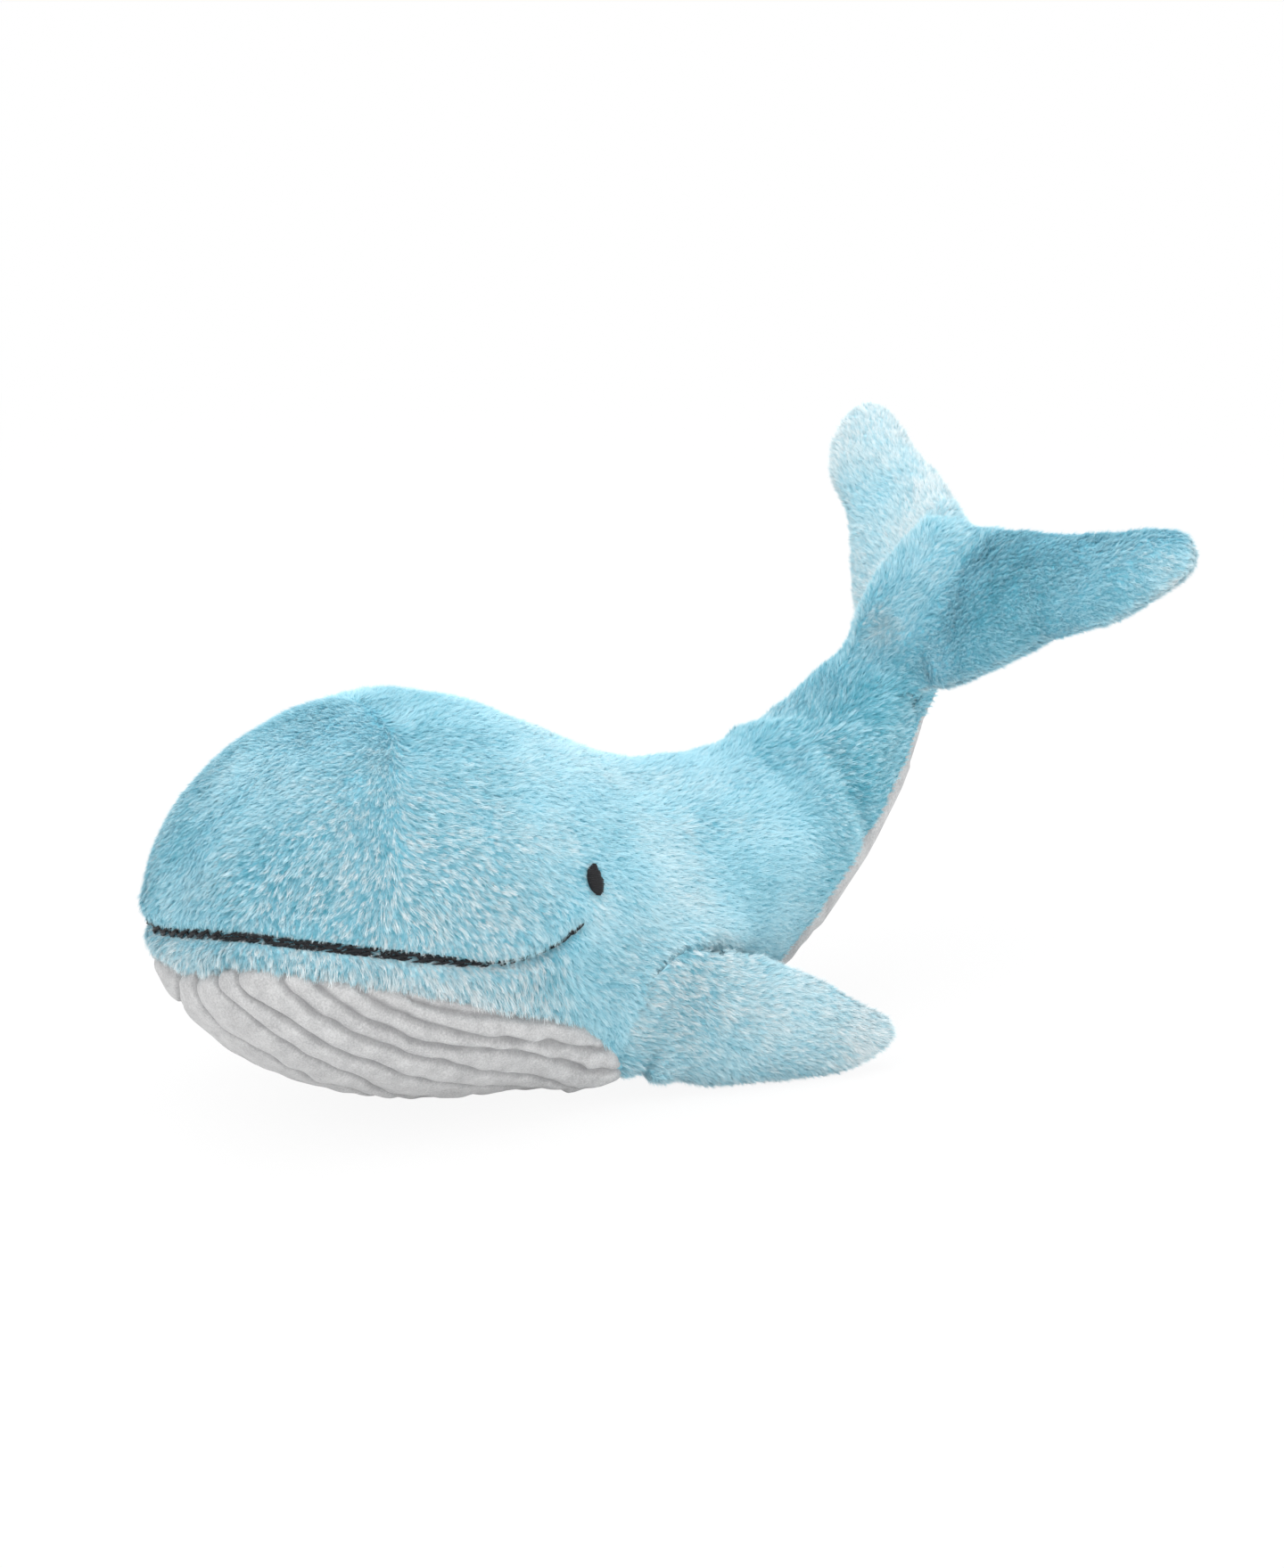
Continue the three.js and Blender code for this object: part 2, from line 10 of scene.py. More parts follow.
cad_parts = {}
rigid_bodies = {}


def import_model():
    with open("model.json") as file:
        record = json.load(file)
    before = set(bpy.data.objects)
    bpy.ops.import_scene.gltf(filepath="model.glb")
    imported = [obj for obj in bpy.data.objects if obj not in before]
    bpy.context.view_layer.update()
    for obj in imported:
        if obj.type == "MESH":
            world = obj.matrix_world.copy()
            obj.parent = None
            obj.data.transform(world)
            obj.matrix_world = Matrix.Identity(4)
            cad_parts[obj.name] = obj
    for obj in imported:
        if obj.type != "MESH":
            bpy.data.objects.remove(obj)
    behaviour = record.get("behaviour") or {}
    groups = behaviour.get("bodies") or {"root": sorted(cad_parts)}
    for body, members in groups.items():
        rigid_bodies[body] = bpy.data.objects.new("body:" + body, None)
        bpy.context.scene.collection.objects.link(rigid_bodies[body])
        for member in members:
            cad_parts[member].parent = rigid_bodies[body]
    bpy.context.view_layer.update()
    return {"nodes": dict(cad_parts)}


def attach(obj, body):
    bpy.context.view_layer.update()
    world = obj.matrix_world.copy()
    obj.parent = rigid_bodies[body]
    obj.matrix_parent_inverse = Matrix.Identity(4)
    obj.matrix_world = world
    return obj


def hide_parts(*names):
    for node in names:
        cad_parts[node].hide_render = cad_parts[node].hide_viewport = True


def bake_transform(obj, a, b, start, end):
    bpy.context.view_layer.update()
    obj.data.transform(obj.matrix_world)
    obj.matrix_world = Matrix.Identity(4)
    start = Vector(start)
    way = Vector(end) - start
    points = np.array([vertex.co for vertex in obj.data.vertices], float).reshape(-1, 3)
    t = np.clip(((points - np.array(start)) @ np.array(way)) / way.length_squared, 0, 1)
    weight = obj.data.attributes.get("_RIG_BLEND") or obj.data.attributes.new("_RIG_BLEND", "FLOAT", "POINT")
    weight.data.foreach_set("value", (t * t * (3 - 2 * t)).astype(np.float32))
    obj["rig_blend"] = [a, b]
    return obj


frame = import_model()
scene = bpy.context.scene
mm = 0.001

# meshes as arrays
def linked(name, data):
    obj = bpy.data.objects.new(name, data)
    scene.collection.objects.link(obj)
    return obj


def meshFrom(name, bm):
    mesh = bpy.data.meshes.new(name)
    bm.to_mesh(mesh)
    bm.free()
    return mesh


def dropped(obj):
    mesh = obj.data
    bpy.data.objects.remove(obj)
    if mesh.users == 0:
        bpy.data.meshes.remove(mesh)


def valuesOf(items, key, width=3, kind=float):
    values = np.zeros(len(items) * width, kind)
    items.foreach_get(key, values)
    return values.reshape(-1, width)


def placesOf(mesh):
    return valuesOf(mesh.vertices, "co")


def normalsOf(mesh):
    return valuesOf(mesh.vertex_normals, "vector")


def edgesOf(mesh):
    return valuesOf(mesh.edges, "vertices", 2, np.int32)


def centresOf(mesh):
    return valuesOf(mesh.polygons, "center"), valuesOf(mesh.polygons, "normal")


def setPlaces(mesh, co):
    mesh.vertices.foreach_set("co", np.ascontiguousarray(co, dtype=np.float32).ravel())
    mesh.update()


def nearSide(co):
    return np.stack([co[:, 0], -np.abs(co[:, 1]), co[:, 2]], 1)


def unit(v):
    return v / np.maximum(np.linalg.norm(v, axis=1, keepdims=True), 1e-12)


def meanOfNeighbours(values, edges):
    count = np.bincount(edges.ravel(), minlength=len(values))
    total = np.zeros_like(values)
    for near, far in ((0, 1), (1, 0)):
        for axis in range(values.shape[1]):
            total[:, axis] += np.bincount(edges[:, near], values[edges[:, far], axis], len(values))
    return total / np.maximum(count, 1)[:, None]


def relaxed(values, edges, rounds, factor=0.5):
    for _ in range(rounds):
        values = values + (meanOfNeighbours(values, edges) - values) * factor
    return values


def evened(co, edges, rounds):
    # smooths without shrinking
    for _ in range(rounds):
        co = relaxed(co, edges, 1, 0.5)
        co = relaxed(co, edges, 1, -0.52)
    return co


def finished(obj, name):
    # a copy of the mesh with the modifiers in it
    depsgraph = bpy.context.evaluated_depsgraph_get()
    mesh = bpy.data.meshes.new_from_object(obj.evaluated_get(depsgraph), preserve_all_data_layers=True,
                                           depsgraph=depsgraph)
    mesh.name = name
    return mesh


def settled(obj):
    # the mesh takes the place of the modifiers that made it
    mesh = finished(obj, obj.name)
    obj.modifiers.clear()
    old, obj.data = obj.data, mesh
    bpy.data.meshes.remove(old)


def withModifier(obj, kind, **values):
    modifier = obj.modifiers.new(kind.lower(), kind)
    for key, value in values.items():
        setattr(modifier, key, value)
    settled(obj)


def largestIsland(mesh):
    bm = bmesh.new()
    bm.from_mesh(mesh)
    bm.verts.ensure_lookup_table()
    seen, islands = set(), []
    for start in bm.verts:
        if start.index in seen:
            continue
        seen.add(start.index)
        island, front = [start], [start]
        while front:
            vert = front.pop()
            for edge in vert.link_edges:
                other = edge.other_vert(vert)
                if other.index not in seen:
                    seen.add(other.index)
                    island.append(other)
                    front.append(other)
        islands.append(island)
    islands.sort(key=len, reverse=True)
    for island in islands[1:]:
        bmesh.ops.delete(bm, geom=island, context="VERTS")
    bm.to_mesh(mesh)
    bm.free()


def smoothCurve(points, steps=12):
    p = np.array(points, float)
    p = np.vstack([2 * p[0] - p[1], p, 2 * p[-1] - p[-2]])
    t = np.linspace(0, 1, steps, endpoint=False)[:, None]
    rows = []
    for a, b, c, d in zip(p, p[1:], p[2:], p[3:]):
        rows.append(0.5 * (2 * b + (c - a) * t + (2 * a - 5 * b + 4 * c - d) * t ** 2
                           + (3 * b - a - 3 * c + d) * t ** 3))
    return np.vstack(rows + [p[-2:-1]])


def distanceTo(co, path):
    # distance of each point to a line of points, and how far along the line that is, 0 to 1
    path = np.array(path, float)
    lengths = np.linalg.norm(np.diff(path, axis=0), axis=1)
    before = np.concatenate([[0], np.cumsum(lengths)])
    best, along = np.full(len(co), 1e9), np.zeros(len(co))
    for i, (a, b) in enumerate(zip(path, path[1:])):
        d = b - a
        t = np.clip(((co - a) @ d) / max(d @ d, 1e-18), 0, 1)
        gap = np.linalg.norm(co - a - t[:, None] * d, axis=1)
        closer = gap < best
        best[closer] = gap[closer]
        along[closer] = (before[i] + t[closer] * lengths[i]) / before[-1]
    return best, along


def ramp(values, start, end):
    t = np.clip((values - start) / (end - start), 0, 1)
    return t * t * (3 - 2 * t)


def bell(values, width):
    return np.exp(-((values / width) ** 2))


# node trees
def socketOf(sockets, key):
    if isinstance(key, int):
        return sockets[key]
    return next(socket for socket in sockets if socket.name == key and socket.enabled)


def out(node, key=0):
    return socketOf(node.outputs, key)


def wired(tree, kind, inputs=None, **values):
    # a node with its settings, and with a value or a link for each named input
    node = tree.nodes.new(kind)
    for key, value in values.items():
        setattr(node, key, value)
    for key, value in (inputs or {}).items():
        socket = socketOf(node.inputs, key)
        if isinstance(value, bpy.types.NodeSocket):
            tree.links.new(value, socket)
        else:
            socket.default_value = value
    return node


def mathOf(tree, operation, *values, clamped=False):
    inputs = dict(enumerate(values))
    return out(wired(tree, "ShaderNodeMath", inputs, operation=operation, use_clamp=clamped))


# camera, lights, floor
cameraSet = {
    "azimuth": -32, "elevation": 18.5, "distance": 2.6, "target": (0.0614, 0.0008, 0.0993),
    "focalPixels": 8060, "framePixels": 1759, "sensor": 36, "seesTo": 50,
}
lampSets = {
    "keyLamp": {"azimuth": -70, "elevation": 48, "distance": 2.2, "size": 1.5, "watts": 19},
    "fillLamp": {"azimuth": 25, "elevation": 12, "distance": 2.6, "size": 1.8, "watts": 9},
    "lowLamp": {"azimuth": -10, "elevation": 3, "distance": 1.6, "size": 1.0, "watts": 5},
    "backLamp": {"azimuth": 150, "elevation": 32, "distance": 2.4, "size": 1.6, "watts": 12},
    "topLamp": {"azimuth": 10, "elevation": 84, "distance": 2.0, "size": 1.6, "watts": 19},
}
worldSet = {"tint": (1.0, 1.0, 1.0), "strength": 0.7}
floorSet = {"size": 12, "colour": (0.9, 0.9, 0.9), "whitened": 0.92, "shadeTo": 0.35, "whiteFrom": 0.95}


def aimed(name, data, s):
    # a camera or lamp that looks at the whale
    a, e = math.radians(s["azimuth"]), math.radians(s["elevation"])
    back = Vector((math.sin(a) * math.cos(e), -math.cos(a) * math.cos(e), math.sin(e)))
    obj = linked(name, data)
    obj.location = Vector(cameraSet["target"]) + back * s["distance"]
    obj.rotation_euler = back.to_track_quat("Z", "Y").to_euler()
    return obj


def addCamera(s):
    scene.camera = aimed("camera", bpy.data.cameras.new("camera"), s)
    scene.camera.data.sensor_width = s["sensor"]
    scene.camera.data.lens = s["sensor"] * s["focalPixels"] / s["framePixels"]
    scene.camera.data.clip_end = s["seesTo"]


def addLamp(name, s):
    lamp = aimed(name, bpy.data.lights.new(name, "AREA"), s).data
    lamp.size, lamp.energy = s["size"], s["watts"]


def directRays(tree):
    path = wired(tree, "ShaderNodeLightPath")
    seen = mathOf(tree, "MAXIMUM", out(path, "Is Camera Ray"), out(path, "Is Glossy Ray"))
    return mathOf(tree, "MAXIMUM", seen, out(path, "Is Transmission Ray"))


def addWorld(s):
    scene.world = bpy.data.worlds.new("studio")
    scene.world.use_nodes = True
    tree = scene.world.node_tree
    tree.nodes.clear()
    light = wired(tree, "ShaderNodeBackground", {"Color": (*s["tint"], 1), "Strength": s["strength"]})
    white = wired(tree, "ShaderNodeBackground", {"Color": (1, 1, 1, 1)})
    both = wired(tree, "ShaderNodeMixShader", {0: directRays(tree), 1: out(light), 2: out(white)})
    wired(tree, "ShaderNodeOutputWorld", {0: out(both)})


def addFloor(s):
    bm = bmesh.new()
    bmesh.ops.create_grid(bm, x_segments=1, y_segments=1, size=s["size"] / 2)
    floor = linked("floor", meshFrom("floor", bm))
    material = bpy.data.materials.new("paleFloor")
    material.use_nodes = True
    tree = material.node_tree
    tree.nodes.clear()
    matt = wired(tree, "ShaderNodeBsdfDiffuse", {"Color": (*s["colour"], 1)})
    white = wired(tree, "ShaderNodeEmission")
    # plain white further off, so that only the whale's own shadow shows
    where = out(wired(tree, "ShaderNodeTexCoord"), "Object")
    reach = wired(tree, "ShaderNodeVectorMath", {0: where}, operation="LENGTH")
    spread = wired(tree, "ShaderNodeMapRange", {
        0: out(reach, "Value"), 1: s["shadeTo"], 2: s["whiteFrom"], 3: s["whitened"], 4: 1.0})
    share = mathOf(tree, "MULTIPLY", directRays(tree), out(spread))
    both = wired(tree, "ShaderNodeMixShader", {0: share, 1: out(matt), 2: out(white)})
    wired(tree, "ShaderNodeOutputMaterial", {0: out(both)})
    floor.data.materials.append(material)


scene.view_settings.view_transform = "Standard"
addCamera(cameraSet)
for lampName, lampSet in lampSets.items():
    addLamp(lampName, lampSet)
addWorld(worldSet)
addFloor(floorSet)
print("studio ready")


# side-view lines of the sewing pattern: x and z as shares of the whale's length and height
patternSet = {
    "nose": -0.131, "length": 0.320, "height": 0.151, "drop": 0.0005,
    "mouth": [(0.000, 0.558), (0.010, 0.572), (0.050, 0.574), (0.117, 0.552), (0.196, 0.510),
              (0.283, 0.463), (0.351, 0.471), (0.395, 0.509)],
    "seam": [(-0.10, 0.460), (0.000, 0.470), (0.020, 0.505), (0.0675, 0.505), (0.167, 0.447),
             (0.285, 0.358), (0.385, 0.278), (0.412, 0.242), (0.436, 0.198), (0.466, 0.130),
             (0.492, 0.074), (0.516, 0.046), (0.560, 0.065), (0.600, 0.115), (0.675, 0.185),
             (0.738, 0.272), (0.794, 0.376), (0.863, 0.515), (0.916, 0.652), (0.956, 0.760),
             (1.000, 0.835), (1.2, 0.86)],
    "lipEnd": (0.45, 0.15), "hinge": (0.11444, 0, 0.07153), "tailward": (0.955, 0, 0.298),
    "flukeRoot": (0.164, 0, 0.122), "flukeRise": 54, "flukeSide": 20 * mm, "flukeStart": 3 * mm,
    "farDrop": 17 * mm, "dropFrom": -45 * mm, "dropTo": 45 * mm, "dropBehind": -40 * mm,
    "dropAhead": -120 * mm,
}


def placed(shares):
    s = patternSet
    return [(x * s["length"] + s["nose"], z * s["height"] - s["drop"]) for x, z in shares]


mouthLine = smoothCurve(placed(patternSet["mouth"]))
seamLine = smoothCurve(placed(patternSet["seam"]))
mouthCorner, lipEnd = mouthLine[-1], np.array(placed([patternSet["lipEnd"]])[0])
hinge, tailward = np.array(patternSet["hinge"]), np.array(patternSet["tailward"])
flukeRoot = np.array(patternSet["flukeRoot"])
flukeAlong = np.array([math.cos(math.radians(patternSet["flukeRise"])), 0,
                       math.sin(math.radians(patternSet["flukeRise"]))])
flukeUp = np.array([-flukeAlong[2], 0, flukeAlong[0]])


def heightAt(line, x):
    return np.interp(x, line[:, 0], line[:, 1])


def lineHeight(line, co):
    # the snout lies over a little, so the far side of its pattern is lower
    s = patternSet
    drop = s["farDrop"] * ramp(co[:, 1], s["dropFrom"], s["dropTo"])
    return heightAt(line, co[:, 0]) - drop * ramp(co[:, 0], s["dropBehind"], s["dropAhead"])


def gapAbove(line, co, no):
    # signed distance along the cloth from a line of the pattern
    step, lean = 0.5 * mm, np.zeros((len(co), 3))
    lean[:, 2] = 1
    for axis in (0, 1):
        shift = np.zeros(3)
        shift[axis] = step
        lean[:, axis] = -(lineHeight(line, co + shift) - lineHeight(line, co - shift)) / (2 * step)
    lean -= np.sum(lean * no, axis=1, keepdims=True) * no
    steep = np.maximum(np.linalg.norm(lean, axis=1), 0.25)
    return (co[:, 2] - lineHeight(line, co)) / steep, lean / steep[:, None] ** 2


def seamGaps(co, no):
    return gapAbove(mouthLine, co, no)[0], gapAbove(seamLine, co, no)[0]


def tailReach(co):
    return (co - hinge) @ tailward


def flukeReach(co):
    return (co - flukeRoot) @ flukeAlong


def lipBehind(co):
    # how far a point lies behind the rear edge of the lip
    edge = np.interp(co[:, 2], [lipEnd[1], mouthCorner[1]], [lipEnd[0], mouthCorner[0]])
    return co[:, 0] - edge


# one stuffed form for head, body, tail stock and flukes, from which the panels are then cut
formSet = {
    "nodes": ["left_side_panel", "right_side_panel", "lip_band", "belly_panel", "body_filling",
              "pellet_pouch", "tail_cover", "tail_belly_strip", "tail_filling", "left_fluke",
              "right_fluke"],
    "voxel": 4 * mm, "evening": 14, "pile": 2.8 * mm, "nap": 0.6 * mm,
    "frames": 20, "pressure": 4, "swell": 1.6 * mm, "seamHold": 6 * mm, "mouthHeldFrom": 10 * mm,
    "mouthHeldTo": -5 * mm, "floorHeldFrom": 6 * mm, "floorHeldTo": 2 * mm, "whiteFrom": 2 * mm,
    "toSeam": 1.1 * mm, "lowest": 0.6 * mm,
}
finSet = {
    "voxel": 2.6 * mm, "evening": 8, "pile": 2.2 * mm, "frames": 20, "pressure": 4,
    "swell": 1.2 * mm, "rootReach": 7 * mm, "rootDepth": 5.5 * mm, "flare": 1 * mm,
    "flareReach": 12 * mm, "step": 4 * mm, "tuck": 7 * mm, "tuckFrom": 54 * mm, "tuckTo": 32 * mm,
    # rows of x with shifts in mm: of the lower and the upper edge, of the shoulder and of the foot
    # of the root outwards and forwards
    "under": [(27, 0), (45, -3.2), (79, -3.2), (90, -4.3), (103, -5), (109, -5), (116, -3),
              (124, -3)],
    "over": [(27, 21), (37, 21.6), (45, 21), (50, 15.6), (58, 6), (63, 2.5), (72, -1.4), (79, -3.7),
             (90, -5), (103, -5.6), (109, -7), (116, -7), (124, -4)],
    "shoulder": [(27, 17), (32, 17), (37, 13), (45, 10.5), (50, 7), (58, 5), (66, 2), (78, 0)],
    "front": [(27, 13), (32, 13), (37, 8.5), (45, 8.6), (50, 3), (58, 2), (66, 0)],
    "foot": [(27, 6), (40, 4), (55, 0)], "footAhead": [(27, 16), (38, 12), (50, 4), (60, 0)],
    "heldFrom": 9 * mm, "heldTo": 5 * mm, "lowest": 1.5 * mm,
}


clothSet = {
    "quality": 4, "mass": 0.1, "tension_stiffness": 8, "compression_stiffness": 8, "shear_stiffness": 4,
    "bending_stiffness": 0.3, "use_pressure": True, "vertex_group_mass": "seams",
}


def voxelForm(name, nodes, voxel, evening):
    bm = bmesh.new()
    for node in nodes:
        bm.from_mesh(frame["nodes"][node].data)
    bmesh.ops.remove_doubles(bm, verts=bm.verts, dist=1e-6)
    obj = linked(name, meshFrom(name, bm))
    withModifier(obj, "REMESH", mode="VOXEL", voxel_size=voxel, use_smooth_shade=True)
    largestIsland(obj.data)
    setPlaces(obj.data, evened(placesOf(obj.data), edgesOf(obj.data), evening))
    return obj


def stuffed(obj, s, pinned):
    # the cover swells under pressure and stays put along its seams
    before = placesOf(obj.data)
    group = obj.vertex_groups.new(name="seams")
    for index in np.nonzero(pinned > 0.05)[0]:
        group.add([int(index)], float(pinned[index]), "REPLACE")
    cloth = obj.modifiers.new("fill", "CLOTH")
    for key, value in clothSet.items():
        setattr(cloth.settings, key, value)
    cloth.settings.uniform_pressure_force = s["pressure"]
    cloth.settings.effector_weights.gravity = 0
    cloth.collision_settings.use_collision = False
    cloth.point_cache.frame_start = 1
    cloth.point_cache.frame_end = s["frames"]
    for number in range(1, s["frames"] + 1):
        scene.frame_set(number)
    mesh = finished(obj, obj.name)
    after = placesOf(mesh)
    obj.modifiers.clear()
    obj.vertex_groups.clear()
    bpy.data.meshes.remove(mesh)
    scene.frame_set(1)
    move = after - before
    far = np.linalg.norm(move, axis=1, keepdims=True)
    print(obj.name, "swelled by up to", round(float(far.max()) / mm, 1), "mm, mean",
          round(float(far.mean()) / mm, 2))
    move *= np.minimum(1, s["swell"] / np.maximum(far, 1e-9))
    setPlaces(obj.data, before + relaxed(move, edgesOf(obj.data), 2))


def finer(obj):
    withModifier(obj, "SUBSURF", levels=1, render_levels=1, use_limit_surface=False)


whale = voxelForm("whaleForm", formSet["nodes"], formSet["voxel"], formSet["evening"])
co, no = placesOf(whale.data), normalsOf(whale.data)
mouthGap, seamGap = seamGaps(co, no)
whiteness = ramp(seamGap, formSet["whiteFrom"], -formSet["whiteFrom"])
inset = (formSet["pile"] * (1 - whiteness) + formSet["nap"] * whiteness)[:, None]
setPlaces(whale.data, co - no * inset)
mouthHeld = bell(mouthGap, formSet["seamHold"])
mouthHeld = mouthHeld * ramp(co[:, 0], formSet["mouthHeldFrom"], formSet["mouthHeldTo"])
floorHeld = ramp(co[:, 2], formSet["floorHeldFrom"], formSet["floorHeldTo"])
held = np.maximum(bell(seamGap, formSet["seamHold"]), mouthHeld)
stuffed(whale, formSet, np.maximum(held, floorHeld))
finer(whale)
print("form", len(whale.data.vertices), "points")

# creases, ridges and dimples in the stuffed form: height, width and points on the near side, in mm
foldSet = {"reach": 25 * mm, "behindOnFarSide": 3 * mm, "rows": [
    (3.4, 5, [(117.4, -22.5, 106.1), (121.7, -30.8, 97.4), (126.1, -34.8, 86.8), (130.9, -34.8, 76.4)]),
    (-3.8, 5, [(124.8, -23, 108.3), (129.7, -30.4, 99.3), (134.7, -33.5, 87.3), (140.4, -31.1, 75.3)]),
    (1.4, 4, [(113, -14.4, 109.7), (119.6, -22.1, 107.2), (125.8, -27.5, 103.2)]),
    (0.9, 8, [(61.8, -40.6, 94), (60.8, -48.2, 82.9), (61.3, -52.3, 70.6), (63.6, -52.9, 56.8)]),
    (-2.4, 7, [(163.8, -25.5, 129.6), (156.6, -18.7, 135.8), (154.2, -7.4, 146.8)]),
    (-1.5, 7, [(197.8, -9.2, 177.1), (181.4, -21.9, 166.6), (171.5, -28.1, 152.8),
      (166.4, -33.1, 138)]),
    (1.6, 5, [(169.4, -10.8, 162.3), (176.6, -11.6, 168.1), (183, -13.6, 171)]),
    (-1.3, 2.6, [(180.7, -66.5, 151.3), (188.6, -79.6, 158.5), (198, -93.2, 165.8)]),
    (-1.6, 4, [(214.7, -107.9, 183.3), (216, -108.5, 182)]),
    (-1.5, 8, [(1.3, -65.3, 93.3), (1.4, -65.3, 92.3)]),
    (1.0, 6, [(5.8, -64.5, 82.6), (-2, -65.6, 81)]),
    (4.2, 7, [(53, -57, 62), (35, -62, 57), (22, -63, 48), (17, -60, 32), (19, -54, 16)]),
    (7, 12, [(2, -50, 9), (16, -51, 7), (32, -50, 7)]),
    (2.6, 8, [(42, -56, 60), (55, -53, 58), (72, -50, 54)]),
    (-5.2, 13, [(129, -4, 118), (137, -4, 127), (148, -5, 140)]),
    (3.4, 9, [(104, -2, 109), (112, -3, 113), (118, -3, 116)]),
    (-4, 12, [(172, -6, 90), (177, -6, 101), (182, -6, 111)]),
    (-3, 9, [(170, -22, 117), (164, -25, 110), (157, -27, 104), (152, -29, 95)]),
]}


def folded(co, s):
    near = nearSide(co)
    near[:, 0] += np.where(co[:, 1] > 0, s["behindOnFarSide"], 0)
    total = np.zeros(len(co))
    for rise, width, points in s["rows"]:
        path = smoothCurve(np.array(points) * mm, 4)
        low, high = path.min(0) - s["reach"], path.max(0) + s["reach"]
        close = np.all((near > low) & (near < high), axis=1)
        gap, along = distanceTo(near[close], path)
        shape = bell(gap, width * mm)
        total[close] += rise * mm * shape * np.where((along > 0) & (along < 1), 1, shape)
    return total


# how this whale lies: rows of x with the lift of its underside and of its back, and rows of y
# with the shift of the flukes' hind and fore edges and of the far one's sag
lieSet = {
    "rows": [(-140, 0, 0), (-125, 0.5, 0), (-108, 1.5, 3.2), (-90, 2.2, 4.4), (-74, 2.6, 4.5),
             (-51, 2.9, 4.0), (-39, 3.3, 3.0), (-17, 3.2, -0.6), (-5, 1.8, -2.6), (17, 0, -5.0),
             (40, 0, -4.4), (62, 0, -3.3), (80, 0, 0), (120, 0, 0)],
    "lowest": 20 * mm, "highest": 110 * mm, "behind": 140 * mm, "middle": 30 * mm,
    "middleRise": 0.38, "hindReach": 26 * mm, "foreReach": 20 * mm,
    "hindEdge": [(-100, -1), (-75, -0.5), (-55, 1), (-30, 4), (-10, 5), (5, 5.5), (20, 5), (35, 2),
                 (50, 0), (70, -3), (85, -3), (100, 1), (120, 4)],
    "foreEdge": [(-115, 12), (-110, 11), (-104, 8.5), (-98, 4), (-92, 0.8), (-86, -0.8),
                 (-77, -2.8), (-68, -4), (-58, -1), (-48, 1.6), (-35, 4), (-20, 3), (-10, 0),
                 (50, 0), (62, -4), (78, -7), (95, -7), (112, -7)],
    "sag": [(0, 0), (16, 3), (30, 8), (50, 11), (70, 9), (90, 2.5), (105, -2), (120, -4)],
}


def lain(co, s):
    x, under, over = np.array(s["rows"]).T * mm
    share = ramp(co[:, 2], s["lowest"], s["highest"])
    lift = np.interp(co[:, 0], x, under) * (1 - share) + np.interp(co[:, 0], x, over) * share
    co = co + lift[:, None] * np.array([0, 0, 1.0])
    onFluke = (co[:, 0] > s["behind"]) & (flukeReach(co) > 0)
    middle = s["middle"] + s["middleRise"] * np.abs(co[:, 1])
    shift = {key: np.interp(co[:, 1], *(np.array(s[key]).T * mm))
             for key in ("hindEdge", "foreEdge", "sag")}
    chord = shift["hindEdge"] * ramp(flukeReach(co) - middle, 0, s["hindReach"])
    chord -= shift["foreEdge"] * ramp(middle - flukeReach(co), 0, s["foreReach"])
    co = co + (chord * onFluke)[:, None] * flukeAlong
    return co + (shift["sag"] * onFluke)[:, None] * np.array([1.0, 0, 0])


creaseSet = {
    "mouthDepth": 2.6 * mm, "mouthWidth": 2.6 * mm, "browRise": 1.2 * mm, "browAt": 7 * mm,
    "lipRise": 1.6 * mm, "fullWidth": 5 * mm, "seamDepth": 1.8 * mm, "seamWidth": 2.4 * mm,
    "mouthFrom": 2 * mm, "mouthTo": -12 * mm, "seamFrom": 180 * mm, "seamTo": 150 * mm,
}


def creased(co, no, s):
    mouthGap, seamGap = seamGaps(co, no)
    ahead = ramp(co[:, 0], s["mouthFrom"], s["mouthTo"])
    rise = -s["mouthDepth"] * bell(mouthGap, s["mouthWidth"]) * ahead
    rise += s["browRise"] * bell(mouthGap - s["browAt"], s["fullWidth"]) * ahead
    inLip = ramp(mouthGap, 0, -3 * mm) * ramp(seamGap, -1 * mm, 3 * mm)
    rise += s["lipRise"] * inLip * ahead
    onSeam = bell(seamGap, s["seamWidth"]) * ramp(co[:, 0], s["seamFrom"], s["seamTo"])
    return rise - s["seamDepth"] * onSeam


setPlaces(whale.data, lain(placesOf(whale.data), lieSet))
co, no = placesOf(whale.data), normalsOf(whale.data)
co = co + no * (folded(co, foldSet) + creased(co, no, creaseSet))[:, None]
# the panels meet on their seams: points close to a seam move onto it
for line, last in ((seamLine, 200 * mm), (mouthLine, mouthCorner[0])):
    gap, lean = gapAbove(line, co, no)
    onto = ((np.abs(gap) < formSet["toSeam"]) & (co[:, 0] < last))[:, None]
    co = co - lean * gap[:, None] * onto
co[:, 2] = np.maximum(co[:, 2], formSet["lowest"])
setPlaces(whale.data, co)
corners = [tuple(face.vertices) for face in whale.data.polygons]
whaleTree = BVHTree.FromPolygons([Vector(p) for p in co], corners)
print("creases and folds made")


# panels
def panelOf(whole, name, keep):
    bm = bmesh.new()
    bm.from_mesh(whole.data)
    bm.faces.ensure_lookup_table()
    bmesh.ops.delete(bm, geom=[f for f, kept in zip(bm.faces, keep) if not kept], context="FACES")
    for face in bm.faces:
        face.smooth = True
    return linked(name, meshFrom(name, bm))


